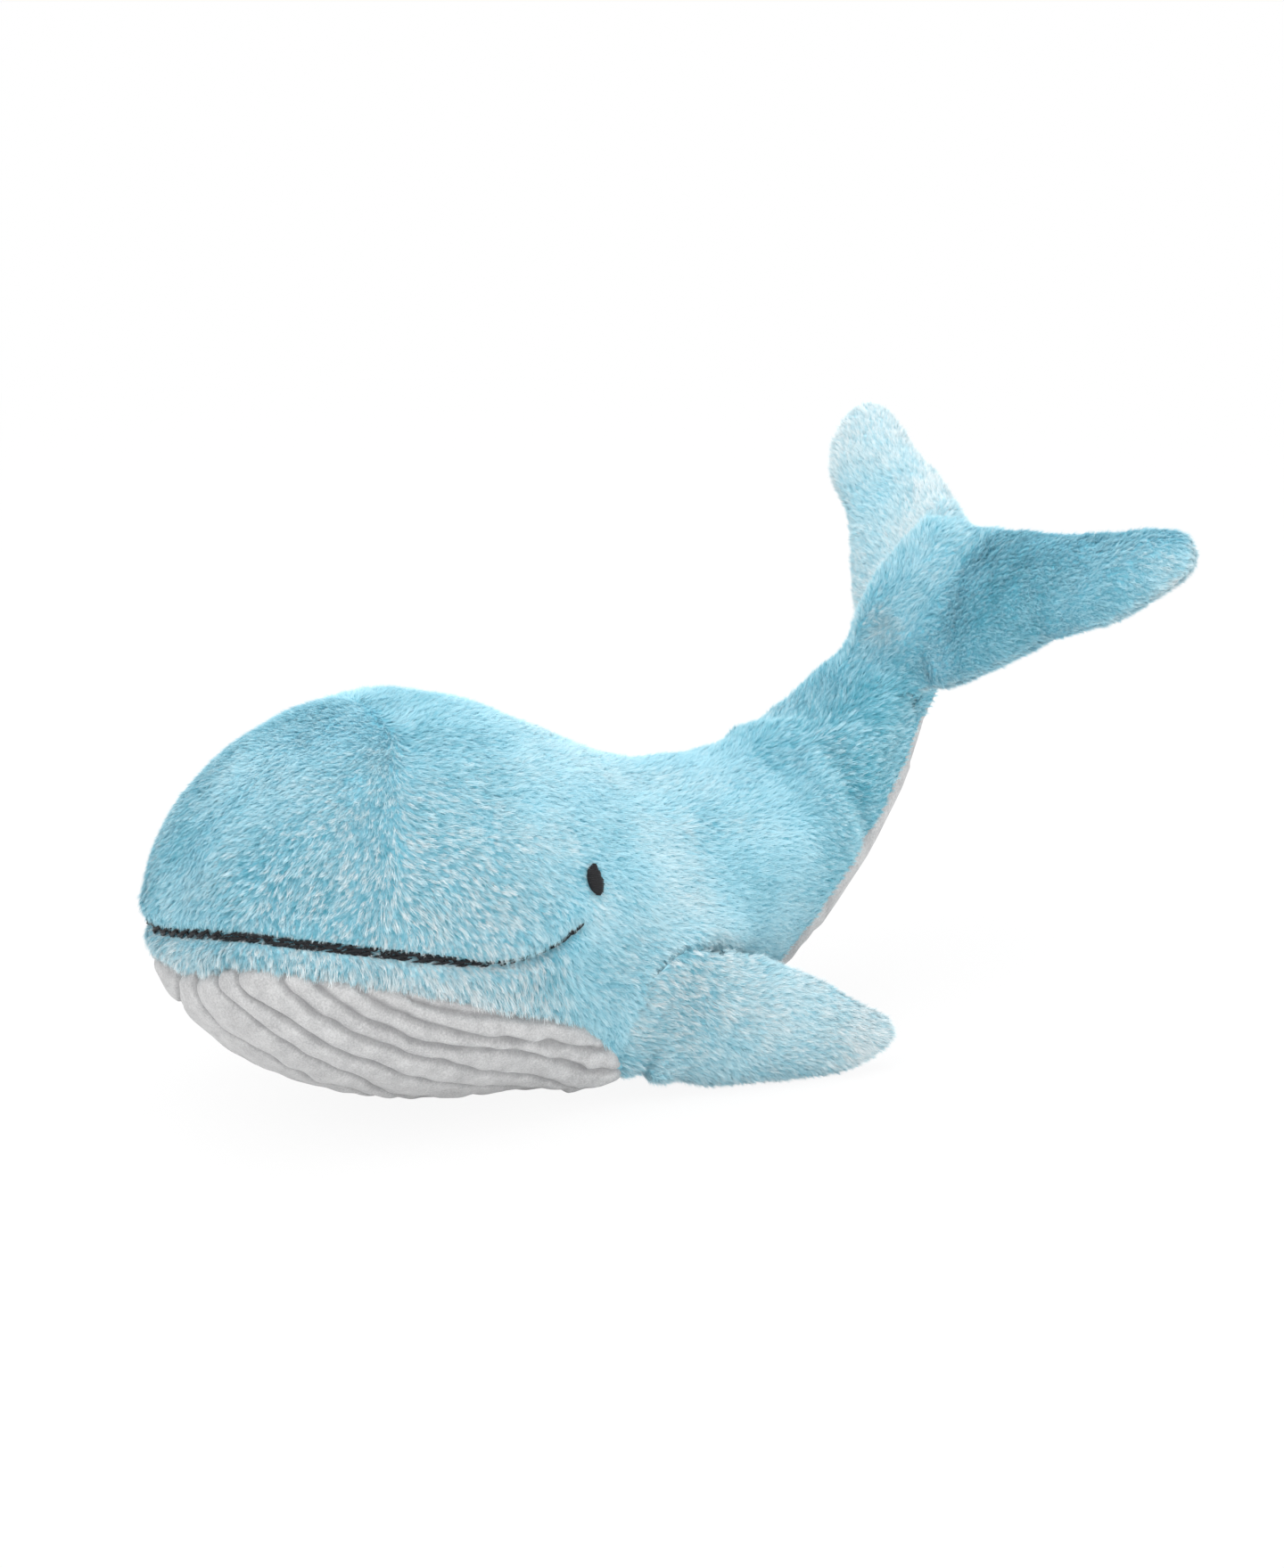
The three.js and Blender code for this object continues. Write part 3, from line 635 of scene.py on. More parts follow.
centres, facing = centresOf(whale.data)
isWhite = gapAbove(seamLine, centres, facing)[0] < 0
isWhite &= flukeReach(centres) < 45 * mm
isFluke = (np.abs(centres[:, 1]) > patternSet["flukeSide"]) & (centres[:, 0] > lieSet["behind"])
isFluke &= flukeReach(centres) > patternSet["flukeStart"]
isTail = (tailReach(centres) > 0) & (centres[:, 0] > 80 * mm)
isLip = (gapAbove(mouthLine, centres, facing)[0] < 0) & (lipBehind(centres) < 0) & ~isWhite
isLeft = centres[:, 1] < 0
isSide = ~(isWhite | isFluke | isTail | isLip)
panelRows = {
    "sideSkinLeft": (isSide & isLeft, ["left_side_panel", "body_filling"]),
    "sideSkinRight": (isSide & ~isLeft, ["right_side_panel"]),
    "lipSkin": (isLip & ~isTail, ["lip_band"]),
    "bellySkin": (isWhite & ~isTail & ~isFluke, ["belly_panel", "pellet_pouch"]),
    "tailSkin": (isTail & ~isWhite & ~isFluke, ["tail_cover", "tail_filling"]),
    "tailStripSkin": (isTail & isWhite & ~isFluke, ["tail_belly_strip"]),
    "flukeSkinLeft": (isFluke & isLeft, ["left_fluke"]),
    "flukeSkinRight": (isFluke & ~isLeft, ["right_fluke"]),
}
panels = {}
for name, (keep, nodes) in panelRows.items():
    panels[name] = panelOf(whale, name, keep)
    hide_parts(*nodes)
    print(name, len(panels[name].data.polygons), "faces")


def finLain(co, s, side):
    # the fin lies low at its tip and its root wraps further round the body
    middles = np.arange(co[:, 0].min(), co[:, 0].max() + s["step"], s["step"])
    close = [np.abs(co[:, 0] - x) < 0.8 * s["step"] for x in middles]
    low = np.interp(co[:, 0], middles, [co[k, 2].min() for k in close])
    high = np.interp(co[:, 0], middles, [co[k, 2].max() for k in close])
    share = np.clip((co[:, 2] - low) / (high - low), 0, 1)
    shift = {key: np.interp(co[:, 0], *(np.array(s[key]).T * mm))
             for key in ("under", "over", "shoulder", "front", "foot", "footAhead")}
    moved = co.copy()
    moved[:, 0] -= shift["front"] * share + shift["footAhead"] * (1 - share)
    moved[:, 1] += side * (shift["shoulder"] * share + shift["foot"] * (1 - share))
    moved[:, 2] += shift["under"] * (1 - share) + shift["over"] * share
    return moved


# fins, with their roots pushed into the body
for side, node in (("Left", "left_fin"), ("Right", "right_fin")):
    fin = voxelForm("finSkin" + side, [node], finSet["voxel"], finSet["evening"])
    co, no = placesOf(fin.data), normalsOf(fin.data)
    co = co - no * finSet["pile"]
    toBody = np.array([whaleTree.find_nearest(Vector(p))[3] for p in co])
    setPlaces(fin.data, co)
    stuffed(fin, finSet, ramp(toBody, finSet["heldFrom"], finSet["heldTo"]))
    co = placesOf(fin.data)
    toBody = np.array([whaleTree.find_nearest(Vector(p))[3] for p in co])
    flare = finSet["flare"] * ramp(toBody, finSet["flareReach"], 2 * mm)
    co = co + normalsOf(fin.data) * flare[:, None]
    co = finLain(co, finSet, -1 if side == "Left" else 1)
    setPlaces(fin.data, co)
    no = normalsOf(fin.data)
    tuck = finSet["tuck"] * ramp(co[:, 0], finSet["tuckFrom"], finSet["tuckTo"])
    for i, point in enumerate(co):
        spot, outward, _, gap = whaleTree.find_nearest(Vector(point))
        inward = np.clip(0.9 - no[i] @ np.array(outward), 0, 1)
        if gap < finSet["rootReach"]:
            share = 1 - gap / finSet["rootReach"]
            co[i] -= np.array(outward) * finSet["rootDepth"] * min(1, 2 * share) * inward
        co[i] -= np.array(outward) * tuck[i]
    co[:, 2] = np.maximum(co[:, 2], finSet["lowest"])
    setPlaces(fin.data, co)
    finer(fin)
    panels[fin.name] = fin
    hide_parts(node)
    print(fin.name, len(fin.data.polygons), "faces")
dropped(whale)


# fur: which way it lies, how long and how pale it is, at each point of a skin
combSet = {
    "brow": (-0.75, 0, -0.72), "cheek": (0.75, 0, -0.72), "back": (1, 0, -0.15), "stock": (0.7, 0, 0.1),
    "lip": (0.12, 0, -1), "fluke": (0.35, 1, 0.2), "fin": (1, 0.3, -0.28),
    "parting": [(93.4, -78.4), (113.1, -73.4), (128.5, -67.1), (143.6, -56.1)], "partingWidth": 9 * mm,
    "rearFrom": 10 * mm, "rearTo": 90 * mm, "tailFrom": -10 * mm, "tailTo": 50 * mm,
    "overMouth": (0.1, 0, -1), "overMouthShare": 0.6, "overMouthAt": 5 * mm, "overMouthWidth": 9 * mm,
    "lipReach": 30 * mm, "lipShare": 0.8, "sway": 0.28, "swaySize": 26 * mm,
}
pileSet = {
    "side": 4.1 * mm, "tail": 4.0 * mm, "lip": 4.8 * mm, "fluke": 3.9 * mm, "fin": 4.4 * mm,
    "smoothShare": 0.8, "uneven": 0.12, "unevenSize": 18 * mm, "seamShare": 0.75, "seamReach": 10 * mm,
    # shorter in spots and along the mouth: middle, radius and how much is cut; width and how much
    "spots": [((1.3, -65.3, 93.3), 8.5, 0.72), ((-122.5, 12.6, 108.7), 16, 0.25)],
    "mouth": {"side": (5.5 * mm, 0.62), "lip": (4 * mm, 0.45)},
}
# how clumped the fur is, and how strong its painted light and shade are in clump middles, gaps, roots
# and tips. Spots: middle, radius, amount. Those on the far side, with y above 0, are there alone, and the
# others are on both sides
roughSet = {
    "base": {"side": 0.26, "tail": 0.42, "lip": 0.7, "fluke": 0.40, "fin": 0.5},
    "spots": [
        ((-75, -60, 100), 44, 0.78), ((-40, -68, 78), 30, 0.35), ((-110, -40, 95), 26, 0.50),
        ((20, -62, 50), 20, 0.3), ((40, -64, 45), 16, 0.35), ((140, -28, 105), 20, 0.2),
    ],
}
# patches paler or deeper than the rest, a few of them painted light and shade
toneSet = {
    # the tail stock and the flukes are set deeper than the sides, partly as painted shade where they turn
    # away from the light
    "base": {"side": 0.48, "tail": 0.38, "lip": 0.74, "fluke": 0.40, "fin": 0.68},
    "spots": [
        ((-122.5, 12.6, 108.7), 11, -0.30), ((-118, -10, 118), 26, 0.12), ((-110, -35, 100), 30, -0.06),
        ((-38, 7, 150), 45, -0.10), ((5.8, -64.5, 82.6), 7, 0.28), ((30, -30, 118), 45, 0.18),
        ((45, -50, 75), 20, 0.18), ((80, -44, 75), 20, -0.10), ((152, -22, 131), 18, -0.28),
        # the spot at (57, -55, 57) is painted light, lifting the shade above the fin's top
        ((160, -14, 148), 13, 0.12), ((165, -29, 137), 10, 0.27), ((57, -55, 57), 16, 0.08),
        ((202, 16, 177), 15, 0.60), ((164, -5, 144), 12, 0.40), ((213, -85, 175), 20, -0.16),
        ((-45, -62, 118), 12, -0.12), ((150, -22, 112), 14, -0.08), ((122, -26, 116), 12, 0.14),
        ((131, -32, 95), 9, -0.22), ((121, -30, 97), 8, 0.22), ((127, -34, 84), 7, 0.16),
        # the deep spot at (193, -50, 158) is painted shade on the near fluke, which turns away from the
        # light
        ((176, -12, 168), 12, 0.22), ((214, -108, 183), 12, 0.24), ((193, -50, 158), 28, -0.34),
        # the spots at (27, -60, 42) and (13, -63, 50) are painted light, lifting the shade in the crease at
        # the fin's root
        ((27, -60, 42), 15, 0.10), ((13, -63, 50), 14, 0.14), ((-90, -47, 132), 26, 0.12),
        ((95, -70, 22), 26, 0.18), ((114, -75, 16), 16, 0.36), ((-70, -62, 92), 38, 0.30),
    ],
    # painted light: the far fluke paler where it is lit from behind, and with edge the fluke's edges and
    # underside paler, as if catching light at their rims
    "farFluke": 0.58, "rim": 0.14, "rimFrom": 60 * mm, "rimTo": 112 * mm, "edge": 0.35,
}


def waves(co, size, seed):
    # smooth made-up variation between -1 and 1
    rng = np.random.default_rng(seed)
    total = np.zeros(len(co))
    for _ in range(7):
        way = rng.normal(size=3)
        way *= 2 * math.pi / (size * rng.uniform(0.7, 1.6) * np.linalg.norm(way))
        total += np.sin(co @ way + rng.uniform(0, 6.3))
    return total / 3.2


def spotsOf(co, rows):
    near = nearSide(co)
    away = [(co if middle[1] > 0 else near) - np.array(middle) * mm for middle, _, _ in rows]
    return [amount * bell(np.linalg.norm(apart, axis=1), radius * mm)
            for apart, (_, radius, amount) in zip(away, rows)]


def combOf(kind, co, no, mouthGap, lipRear):
    s = combSet
    vec = lambda key: np.array(s[key])[None, :]
    if kind in ("lip", "fluke", "fin"):
        comb = np.repeat(vec(kind), len(co), 0)
        blended = s["lipShare"] * lipRear[:, None]
        comb = comb * (1 - blended) + blended * vec("cheek")
        comb[:, 1:2] *= np.where(co[:, 1] > 0, 1, -1)[:, None]
    else:
        heights, partings = np.array(s["parting"]).T * mm
        fromParting = co[:, 0] - np.interp(co[:, 2], heights, partings)
        ahead = ramp(fromParting, s["partingWidth"], -s["partingWidth"])[:, None]
        rear = ramp(co[:, 0], s["rearFrom"], s["rearTo"])[:, None]
        onTail = ramp(tailReach(co), s["tailFrom"], s["tailTo"])[:, None] * (co[:, :1] > 0.07)
        comb = vec("brow") * ahead + (1 - ahead) * (vec("cheek") * (1 - rear) + vec("back") * rear)
        comb = comb * (1 - onTail) + vec("stock") * onTail
    if kind == "side":
        over = bell(mouthGap - s["overMouthAt"], s["overMouthWidth"]) * ramp(co[:, 0], 5 * mm, -15 * mm)
        over = s["overMouthShare"] * over[:, None]
        comb = comb * (1 - over) + vec("overMouth") * over
    comb -= np.sum(comb * no, axis=1, keepdims=True) * no
    comb = unit(comb)
    return unit(comb + np.cross(no, comb) * waves(co, s["swaySize"], 3)[:, None] * s["sway"])


def furFields(name, co, no):
    kind = next(k for k in ("side", "tail", "lip", "fluke", "fin") if name.startswith(k))
    mouthGap, seamGap = seamGaps(co, no)
    # the lip passes into the cheek at its rear
    lipRear = ramp(lipBehind(co), -combSet["lipReach"], 0) * (kind == "lip")
    base = {key: s["base"][kind] * (1 - lipRear) + s["base"]["side"] * lipRear
            for key, s in (("rough", roughSet), ("tone", toneSet))}

    s = pileSet
    pile = s[kind] * (1 + s["uneven"] * waves(co, s["unevenSize"], 5))
    for cutShort in spotsOf(co, s["spots"]):
        pile *= 1 - cutShort
    if kind in s["mouth"]:
        width, share = s["mouth"][kind]
        shown = 1
        if kind == "side":
            # only ahead, and on the side that lies higher
            shown = ramp(co[:, 0], -30 * mm, -60 * mm) * ramp(co[:, 1], 38 * mm, 22 * mm)
        pile *= 1 - share * bell(mouthGap, width) * shown
    if kind in ("side", "tail"):
        pile *= s["seamShare"] + (1 - s["seamShare"]) * ramp(seamGap, 0, s["seamReach"])
    rough = base["rough"] + sum(spotsOf(co, roughSet["spots"]))
    rough = np.clip(rough + 0.12 * waves(co, 30 * mm, 17), 0.1, 1)
    pile *= s["smoothShare"] + (1 - s["smoothShare"]) * rough

    s = toneSet
    tone = base["tone"] + sum(spotsOf(co, s["spots"]))
    if kind == "fluke":
        # painted light on the far fluke, and on the fluke's edges and underside
        tone += s["farFluke"] * ramp(co[:, 1], 4 * mm, 22 * mm)
        tone += s["edge"] * ramp(no @ flukeUp, 0.6, 0)
        tone += s["rim"] * ramp(np.abs(co[:, 1]), s["rimFrom"], s["rimTo"])
    tone += 0.09 * waves(co, 40 * mm, 11) + 0.05 * waves(co, 14 * mm, 13)
    return {"comb": combOf(kind, co, no, mouthGap, lipRear), "pile": pile,
            "tone": np.clip(tone, 0.02, 0.98), "rough": rough}


def keepFields(mesh, fields):
    for key, values in fields.items():
        kind = "FLOAT_VECTOR" if values.ndim == 2 else "FLOAT"
        attribute = mesh.attributes.get(key) or mesh.attributes.new(key, kind, "POINT")
        field = "vector" if values.ndim == 2 else "value"
        attribute.data.foreach_set(field, values.astype(np.float32).ravel())


# tufts: a few strands that lean over together, one unit long, in the wanted number of kinds
tuftSet = {
    "kinds": 6, "strands": 8, "width": 0.068, "spread": 0.17, "gather": 0.75, "turn": 0.20,
    "roll": 0.5, "seed": 21, "perSquareMillimetre": 1.0, "quickShare": 0.3, "mostTriangles": 178000,
    "clump": 1.3 * mm, "reach": 2.4 * mm, "gathered": 1.7, "astray": 0.4, "lean": 0.42,
    "shortest": 0.75, "longest": 1.16, "gapFrom": 0.25, "gapTo": 0.72, "gapTone": 0.42,
    "gapRoot": 0.80, "gapShort": 0.3, "gapPower": 1.4, "clumpTone": 0.20, "tuftTone": 0.16,
    "strandTone": 0.12, "smoothRoot": 0.22, "smoothMiddle": 0.15, "leastLean": -0.1,
    "strayScale": 120.0, "shadeShare": 0.9, "alongShare": 0.98, "length": (0.72, 1.1),
    "lift": (0.75, 1.3), "forward": 0.72, "upward": 0.52, "shadeAcross": 0.03,
}


def tuftMesh(name, s, rng):
    bm = bmesh.new()
    marks = bm.loops.layers.uv.new("strand")
    for _ in range(s["strands"]):
        made = bmesh.ops.create_grid(bm, x_segments=1, y_segments=1, size=0.5)["verts"]
        root = np.array([*(rng.normal(size=2) * s["spread"]), 0])
        turn, roll = rng.normal() * s["turn"], rng.normal() * s["roll"]
        length, lift, shade = rng.uniform(*s["length"]), rng.uniform(*s["lift"]), rng.uniform()
        along = np.array([math.cos(turn), math.sin(turn), 0])
        flat = math.cos(roll)
        side = np.array([-math.sin(turn) * flat, math.cos(turn) * flat, math.sin(roll)])
        faces = {face for vert in made for face in vert.link_faces}
        for vert in made:
            t, across = vert.co.x + 0.5, vert.co.y * 2
            for loop in vert.link_loops:
                loop[marks].uv = (shade + s["shadeAcross"] * across, t)
            width = s["width"] * (1 - t) * across / 2
            place = root * (1 - s["gather"] * t) + along * length * s["forward"] * t
            place[2] += length * lift * s["upward"] * t
            vert.co = Vector(place + side * width)
        for face in faces:
            face.smooth = True
        bmesh.ops.remove_doubles(bm, verts=made, dist=1e-5)
    return meshFrom(name, bm)


def furTree(s, tufts):
    tree = bpy.data.node_groups.new("furTufts", "GeometryNodeTree")
    tree.interface.new_socket("Skin", in_out="INPUT", socket_type="NodeSocketGeometry")
    tree.interface.new_socket("Fur", in_out="OUTPUT", socket_type="NodeSocketGeometry")
    start, end = tree.nodes.new("NodeGroupInput"), tree.nodes.new("NodeGroupOutput")

    def named(key, kind="FLOAT"):
        node = wired(tree, "GeometryNodeInputNamedAttribute", {"Name": key}, data_type=kind)
        return out(node, "Attribute")

    def stored(geometry, key, value, kind="FLOAT", domain="POINT"):
        return out(wired(tree, "GeometryNodeStoreNamedAttribute", {
            "Geometry": geometry, "Name": key, "Value": value}, data_type=kind, domain=domain))

    def joined(operation, first, second):
        return out(wired(tree, "ShaderNodeVectorMath", {0: first, 1: second}, operation=operation))

    def scaled(vector, amount):
        return out(wired(tree, "ShaderNodeVectorMath", {0: vector, "Scale": amount}, operation="SCALE"))

    def plus(first, second):
        return mathOf(tree, "ADD", first, second)

    def minus(first, second):
        return mathOf(tree, "SUBTRACT", first, second)

    def times(first, second):
        return mathOf(tree, "MULTIPLY", first, second)

    def chance(low, high, seed, kind="FLOAT"):
        inputs = {"Min": low, "Max": high, "Seed": seed}
        return out(wired(tree, "FunctionNodeRandomValue", inputs, data_type=kind), "Value")

    scatter = wired(tree, "GeometryNodeDistributePointsOnFaces", {"Mesh": out(start, "Skin")})
    place = out(wired(tree, "GeometryNodeInputPosition"))
    cells = wired(tree, "ShaderNodeTexVoronoi", {"Vector": place, "Scale": 1 / s["clump"]})
    stray = wired(tree, "ShaderNodeTexNoise", {"Vector": place, "Scale": s["strayScale"]})
    comb, tone, rough = named("comb", "FLOAT_VECTOR"), named("tone"), named("rough")

    # a tuft heads along the comb, in towards the middle of its clump, and a little astray
    inward = scaled(joined("SUBTRACT", out(cells, "Position"), place), s["gathered"])
    astray = scaled(joined("SUBTRACT", out(stray, "Color"), (0.5, 0.5, 0.5)), s["reach"] * s["astray"])
    heading = joined("ADD", joined("ADD", scaled(comb, s["reach"]), inward), astray)
    upward = joined("ADD", out(scatter, "Normal"), scaled(comb, chance(s["leastLean"], s["lean"], 4)))
    turned = wired(tree, "FunctionNodeAxesToRotation", {
        "Primary Axis": upward, "Secondary Axis": heading}, primary_axis="Z", secondary_axis="X")
    cellShade = out(wired(tree, "ShaderNodeSeparateXYZ", {0: out(cells, "Color")}), "X")
    uneven = times(minus(cellShade, 0.5), 2 * s["clumpTone"])
    uneven = times(plus(uneven, chance(-s["tuftTone"], s["tuftTone"], 9)), rough)
    # between the clumps the fur is short; the shade is painted, darker in the gaps and paler in the clump
    # middles, more so where it is rough
    between = wired(tree, "ShaderNodeMapRange", {
        "Value": out(cells, "Distance"), "From Min": s["gapFrom"], "From Max": s["gapTo"]})
    strength = mathOf(tree, "POWER", rough, s["gapPower"])
    low = times(out(between), strength)
    paintedClumpShading = times(minus(times(strength, 0.5), low), 2 * s["gapTone"])
    marked = stored(out(scatter, "Points"), "shade", plus(plus(tone, uneven), paintedClumpShading))
    marked = stored(marked, "low", low)
    kinds = wired(tree, "GeometryNodeCollectionInfo", {
        "Collection": tufts, "Separate Children": True, "Reset Children": True})
    size = times(named("pile"), chance(s["shortest"], s["longest"], 2))
    size = times(size, minus(1.0, times(low, s["gapShort"])))
    planted = wired(tree, "GeometryNodeInstanceOnPoints", {
        "Points": marked, "Instance": out(kinds), "Pick Instance": True,
        "Instance Index": chance(0, s["kinds"] - 1, 6, "INT"), "Rotation": out(turned), "Scale": size})
    real = out(wired(tree, "GeometryNodeRealizeInstances", {"Geometry": out(planted)}))

    # OFBake: the strand's shade across, and root to tip along
    strand = wired(tree, "ShaderNodeSeparateXYZ", {0: named("strand", "FLOAT_VECTOR")})
    strandShade = times(minus(out(strand, "X"), 0.5), 2 * s["strandTone"])
    across = plus(times(named("shade"), s["shadeShare"]), (1 - s["shadeShare"]) / 2)
    across = mathOf(tree, "ADD", across, strandShade, clamped=True)
    # smooth fur shows neither the painted shade of its roots nor the painted highlight of its tips
    depth = plus(s["smoothRoot"], times(named("rough"), 1 - s["smoothRoot"]))
    along = times(times(minus(out(strand, "Y"), 0.5), s["alongShare"]), depth)
    along = minus(plus(along, 0.5 + s["smoothMiddle"]), times(depth, s["smoothMiddle"]))
    # in the gaps more of the painted root shade shows
    along = minus(along, times(named("low"), s["gapRoot"]))
    # a little of the length is kept, so that no strand has a flat patch
    along = plus(mathOf(tree, "MAXIMUM", along, 0.0), times(out(strand, "Y"), 1 - s["alongShare"]))
    spot = out(wired(tree, "ShaderNodeCombineXYZ", {"X": across, "Y": along}))
    tree.links.new(stored(real, "OFBake", spot, "FLOAT2", "CORNER"), end.inputs[0])
    return tree, scatter


def furred(skin, s, tree, scatter, seed, covered):
    # tufts over a skin, in as many pieces as its size asks for
    centres = centresOf(skin.data)[0]
    density = s["perSquareMillimetre"] * 1
    scatter.inputs["Density"].default_value = density * 1e6
    areas = valuesOf(skin.data.polygons, "area", 1).ravel() * covered
    count = math.ceil(areas.sum() * s["perSquareMillimetre"] * 1e6 * s["strands"] / s["mostTriangles"])
    order = np.argsort(centres[:, 0])
    share = np.zeros(len(centres))
    share[order] = np.cumsum(areas[order]) / areas.sum()
    made = {}
    for part in range(count):
        chosen = covered & (share > part / count) & (share <= (part + 1) / count)
        name = skin.name.replace("Skin", "Fur") + str(part + 1)
        made[name] = panelOf(skin, name, chosen)
        scatter.inputs["Seed"].default_value = seed + part
        made[name].modifiers.new("tufts", "NODES").node_group = tree
        settled(made[name])
        attributes = made[name].data.attributes
        for key in ("comb", "pile", "tone", "rough", "shade", "low", "strand"):
            if key in attributes:
                attributes.remove(attributes[key])
    return made


tufts = bpy.data.collections.new("tufts")
tuftChance = np.random.default_rng(tuftSet["seed"])
for number in range(tuftSet["kinds"]):
    kindName = "tuft" + str(number)
    tufts.objects.link(bpy.data.objects.new(kindName, tuftMesh(kindName, tuftSet, tuftChance)))
grower, scatter = furTree(tuftSet, tufts)

furs, whites = {}, ("bellySkin", "tailStripSkin")
for number, (name, skin) in enumerate(panels.items()):
    if name in whites:
        continue
    co, no = placesOf(skin.data), normalsOf(skin.data)
    keepFields(skin.data, furFields(name, co, no))
    covered = np.ones(len(skin.data.polygons), bool)
    if name.startswith("fin"):
        # no fur on the part of a fin that is inside the body
        centres = [Vector(p) for p in centresOf(skin.data)[0]]
        hits = [whaleTree.find_nearest(p) for p in centres]
        covered = np.array([(p - hit[0]).dot(hit[1]) > 0.5 * mm for p, hit in zip(centres, hits)])
    furs.update(furred(skin, tuftSet, grower, scatter, 10 * number, covered))
bpy.data.node_groups.remove(grower)
for obj in list(tufts.objects):
    dropped(obj)
bpy.data.collections.remove(tufts)
print("fur", len(furs), "pieces,", sum(len(f.data.polygons) for f in furs.values()), "faces")


# throat: pillow ribs between sewn channels that run unevenly, as in the photo
ribSet = {
    # how the channels run: turn round the snout, then each channel's distance along the cloth in mm
    "channels": [
        (0.00, 8, 15, 27, 50, 62, 74, 85), (0.20, 8, 22, 35, 53, 64, 75, 86),
        (0.30, 7, 33, 44.5, 57, 66, 77, 87), (0.42, 14, 40, 51, 60.5, 69, 78, 88),
        (0.56, 28, 44, 53.5, 63.5, 71, 79, 89), (0.86, 29, 45, 56, 66, 73.5, 80.5, 89),
        (1.00, 28, 38, 54.5, 66, 73, 82, 89), (1.09, 22, 31, 51, 64, 72, 79, 87),
        (1.18, 16, 26, 47, 58, 71, 76, 86), (1.42, 10, 20, 34, 46, 58, 68, 78),
        (2.00, 10, 20, 34, 46, 58, 68, 78),
    ],
    "depth": 1.6 * mm, "channelWidth": 1.4 * mm, "crown": 1.2 * mm,
    "fanCentre": (-72 * mm, 86 * mm), "lastStation": 140 * mm, "stations": 60, "turns": 90,
    "fadeFrom": 66 * mm, "fadeTo": 96 * mm, "atSeam": 3.2 * mm, "ripple": 0.35 * mm,
    "puckerAt": -22 * mm, "puckerReach": 24 * mm, "puckerStep": 3.2 * mm, "puckerRise": 0.9 * mm,
    "puckerDown": 14 * mm, "puckerPhase": 3, "fullTurn": 125, "lowest": 0.4 * mm,
    "rippleSize": 11 * mm,
}


def clothTable(s):
    # distance along the cloth from the middle of the belly, in planes that fan round the snout
    middleX, middleZ = s["fanCentre"]
    rows = []
    turns = np.radians(np.linspace(0, s["fullTurn"], s["turns"]))
    for station in range(2 * s["stations"] + 1):
        share = station / s["stations"]
        if share < 1:
            centre = Vector((middleX, 0, middleZ))
            ahead = Vector((-math.cos(share * math.pi / 2), 0, -math.sin(share * math.pi / 2)))
        else:
            centre = Vector((middleX + (share - 1) * (s["lastStation"] - middleX), 0, middleZ))
            ahead = Vector((0, 0, -1))
        run, before, row = 0.0, None, []
        for turn in turns:
            way = ahead * math.cos(turn) + Vector((0, -1, 0)) * math.sin(turn)
            hit = whaleTree.ray_cast(centre, way)[0]
            if hit is not None:
                run += 0 if before is None else (hit - before).length
                before = hit
            row.append(run)
        rows.append(row)
    return np.array(rows)


def alongCloth(co, table, s):
    middleX, middleZ = s["fanCentre"]
    toX, toZ = middleX - co[:, 0], middleZ - co[:, 2]
    front = toX > 0
    share = np.where(front, np.arctan2(toZ, np.maximum(toX, 1e-9)) / (math.pi / 2),
                     1 - toX / (s["lastStation"] - middleX))
    reach = np.where(front, np.hypot(toX, toZ), toZ)
    turn = np.degrees(np.arctan2(np.abs(co[:, 1]), reach)) / s["fullTurn"] * (s["turns"] - 1)
    row = np.clip(share * s["stations"], 0, 2 * s["stations"] - 1e-6)
    turn = np.clip(turn, 0, s["turns"] - 1 - 1e-6)
    i, j = row.astype(int), turn.astype(int)
    a, b = row - i, turn - j
    return share, ((1 - a) * (1 - b) * table[i, j] + a * (1 - b) * table[i + 1, j]
                   + (1 - a) * b * table[i, j + 1] + a * b * table[i + 1, j + 1])


def ribbed(skin, s):
    bm = bmesh.new()
    bm.from_mesh(skin.data)
    bmesh.ops.subdivide_edges(bm, edges=bm.edges, cuts=1, use_grid_fill=True)
    bm.to_mesh(skin.data)
    bm.free()
    co, no = placesOf(skin.data), normalsOf(skin.data)
    turned, distance = alongCloth(co, clothTable(s), s)
    seamGap = gapAbove(seamLine, co, no)[0]
    turns, *channels = smoothCurve(np.array(s["channels"]), 5).T
    channels = np.stack([np.interp(turned, turns, channel) * mm for channel in channels], 1)
    pitches = np.diff(channels, axis=1)
    shares = np.clip((distance[:, None] - channels[:, :-1]) / pitches, 0, 1)
    pitch = pitches[np.arange(len(co)), np.clip(shares.sum(1).astype(int), 0, pitches.shape[1] - 1)]
    fromChannel = np.abs(distance[:, None] - channels).min(1)
    ribs = shares.sum(1)
    share = np.minimum(fromChannel / (pitch / 2), 1)
    rise = s["crown"] * (1 - (1 - share) ** 2) - s["depth"] * bell(fromChannel, s["channelWidth"])
    rise *= ramp(co[:, 0], s["fadeTo"], s["fadeFrom"]) * ramp(-seamGap, 0, s["atSeam"])
    rise += s["ripple"] * waves(co, s["rippleSize"], 31) * ramp(-seamGap, 0, 4 * mm)
    # the cloth puckers where the fin's seam gathers it
    puckered = s["puckerRise"] * np.sin(co[:, 0] / s["puckerStep"] + s["puckerPhase"] * ribs)
    puckered = puckered * ramp(-seamGap, 1 * mm, 6 * mm)
    puckered = puckered * bell(co[:, 0] - s["puckerAt"], s["puckerReach"])
    rise += puckered * bell(seamGap + s["puckerDown"], s["puckerDown"])
    co = co + no * rise[:, None]
    co[:, 2] = np.maximum(co[:, 2], s["lowest"])
    setPlaces(skin.data, co)
    # how deep in a channel a point lies, for the painted shade in the channels
    channel = bell(fromChannel, 2 * mm) * (rise < 0) * ramp(co[:, 0], s["fadeTo"], s["fadeFrom"])
    keepFields(skin.data, {"channel": channel})


ribbed(panels["bellySkin"], ribSet)
print("throat ribs", len(panels["bellySkin"].data.polygons), "faces")

